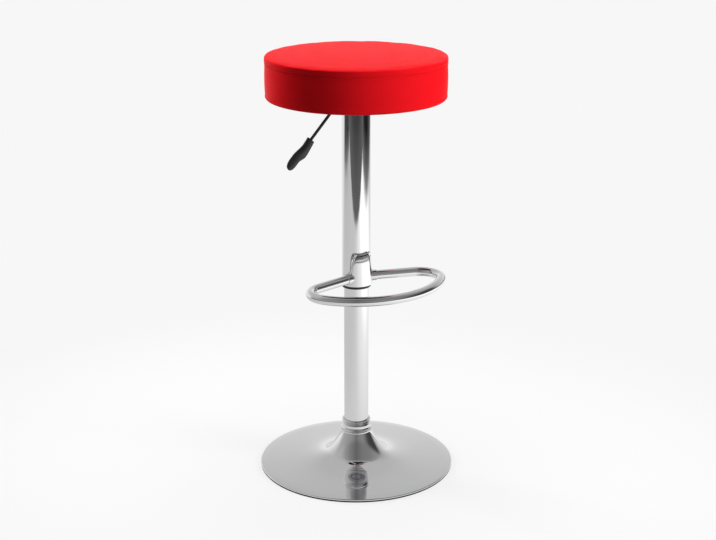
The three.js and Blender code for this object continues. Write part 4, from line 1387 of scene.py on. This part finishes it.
def dust_cloth_shape():
    radii = [0.0, *[2.0 * i for i in range(1, 84)], cloth_radius]
    points, faces = turned([(radius, cloth_low) for radius in radii], 120)
    sagged = []
    for x, y, z in points:
        wide_folds = field.noise(Vector((x * 0.03, y * 0.03, 2.0)))
        small_folds = field.noise(Vector((x * 0.09, y * 0.09, 7.0)))
        wrinkle = wide_folds + 0.5 * small_folds
        calm = min(1.0, max(0.0, (cloth_radius - math.hypot(x, y)) / 30.0))
        over_hem = min(1.0, max(0.0, (math.hypot(x, y) - drop_from) / drop_over))
        clear = min(abs(math.hypot(abs(x) - bolt_spread, abs(y) - bolt_spread)) / 30.0, 1.0)
        sagged.append((x, y, z + 0.25 - cloth_drop * over_hem + 0.2 * wrinkle * calm * clear))
    return sagged, faces


dust_cloth = make_piece("dust_cloth_felt", dust_cloth_shape(), "black_cloth", "seat", ["seat_dust_cloth"])
felt = dust_cloth.modifiers.new("felt_thickness", "SOLIDIFY")
felt.thickness = 0.4 * MM
felt.offset = 0
print("dust cloth", round(dust_cloth.dimensions.x * 1000, 1), "mm across")


# %% Staple the cloth over the hem
staple_count = 48
staple_radius = 165.0
leg_wire = 0.35
crown_wire = 0.4


def staple(angle, radius, low, turn):
    centre = round_axis(angle, radius, low)
    around = Vector((-math.sin(angle + turn), math.cos(angle + turn), 0))
    leg = Vector((0, 0, 1)) * 1.6
    first, last = centre - around * 5, centre + around * 5
    first_bend, last_bend = first + around * 0.3, last - around * 0.3
    return merged(
        capsule(first + leg, first_bend, leg_wire),
        capsule(first_bend, last_bend, crown_wire),
        capsule(last_bend, last + leg, leg_wire),
    )


random.seed(11)
staples = []
staple_low = cloth_low - cloth_drop - 0.05
for i in range(staple_count):
    askew = random.uniform(-0.2, 0.2)
    angle = 2 * math.pi * (i + random.uniform(-0.15, 0.15)) / staple_count
    staples.append(staple(angle, staple_radius, staple_low, askew))
make_piece("staples", merged(*staples), "bare_steel", "seat")
print(len(staples), "staples")

# %% [markdown]
# The seat bolts have hexagon heads with a washer face, and a rolled thread. A turned outline with six
# sides makes a hexagon, and one with many grooves makes a thread. Each bolt is twisted by another angle,
# as a spanner leaves them.

# %% Turn the bolts
bolt_low, bolt_high = [corner.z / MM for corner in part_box("seat_bolt_1")]
head_top = bolt_low + 3.2
washer_top = bolt_low + 4.0
thread_pitch = 1.0


def bolt_shape(x, y, twist):
    head = turned([(0, bolt_low), (4.7, bolt_low), (5.4, bolt_low + 0.6), (5.4, head_top), (0, head_top)], 6)
    washer = turned([(0, head_top), (5.2, head_top), (5.2, washer_top), (0, washer_top)], 32)
    shank = [(0, washer_top), (2.95, washer_top)]
    turns = int((bolt_high - bolt_low - 5.0) / thread_pitch)
    for i in range(turns):
        foot = bolt_low + 4.2 + i * thread_pitch
        shank += [(2.5, foot + 0.25), (2.98, foot + 0.75)]
    shank += [(2.4, bolt_high), (0, bolt_high)]
    points, faces = merged(head, washer, turned(shank, 20))
    swing = math.radians(twist)
    turned_points = [
        (px * math.cos(swing) - py * math.sin(swing) + x, px * math.sin(swing) + py * math.cos(swing) + y, pz)
        for px, py, pz in points
    ]
    return turned_points, faces


corners = [(1, 1, 12), (-1, 1, 40), (-1, -1, 3), (1, -1, 27)]
for number, (sx, sy, twist) in enumerate(corners, 1):
    shape = bolt_shape(sx * bolt_spread, sy * bolt_spread, twist)
    make_piece(f"hex_bolt_{number}", shape, "bare_steel", "seat", [f"seat_bolt_{number}"], weld=False)
print("bolts", round(bolt_high - bolt_low, 1), "mm long")

# %% [markdown]
# ## The solids that stay
# The housing, plates, gas spring and bearing are already the right shape, so their solids stay. They
# only get their finish, and their edges broken by a bevel: the corners of a solid's mesh are first
# joined, because the file keeps them apart for its flat shading.

# %% Dress the solids that still show
slot_of = {part["node"]: part["material_slot"] for part in frame["record"]["subparts"]}
edge_widths = {"mechanism_housing": 0.7, "seat_plate": 0.6, "seat_board": 0.8}
kept = []
for name, solid in nodes.items():
    if solid.hide_render:
        continue
    solid.data.materials.clear()
    solid.data.materials.append(finishes[slot_of[name]])
    solid.modifiers.new("joined_corners", "WELD").merge_threshold = 1e-6
    broken_edges(solid, edge_widths.get(name, 0.25))
    kept.append(name)
print(len(kept), "solids kept:", ", ".join(kept))
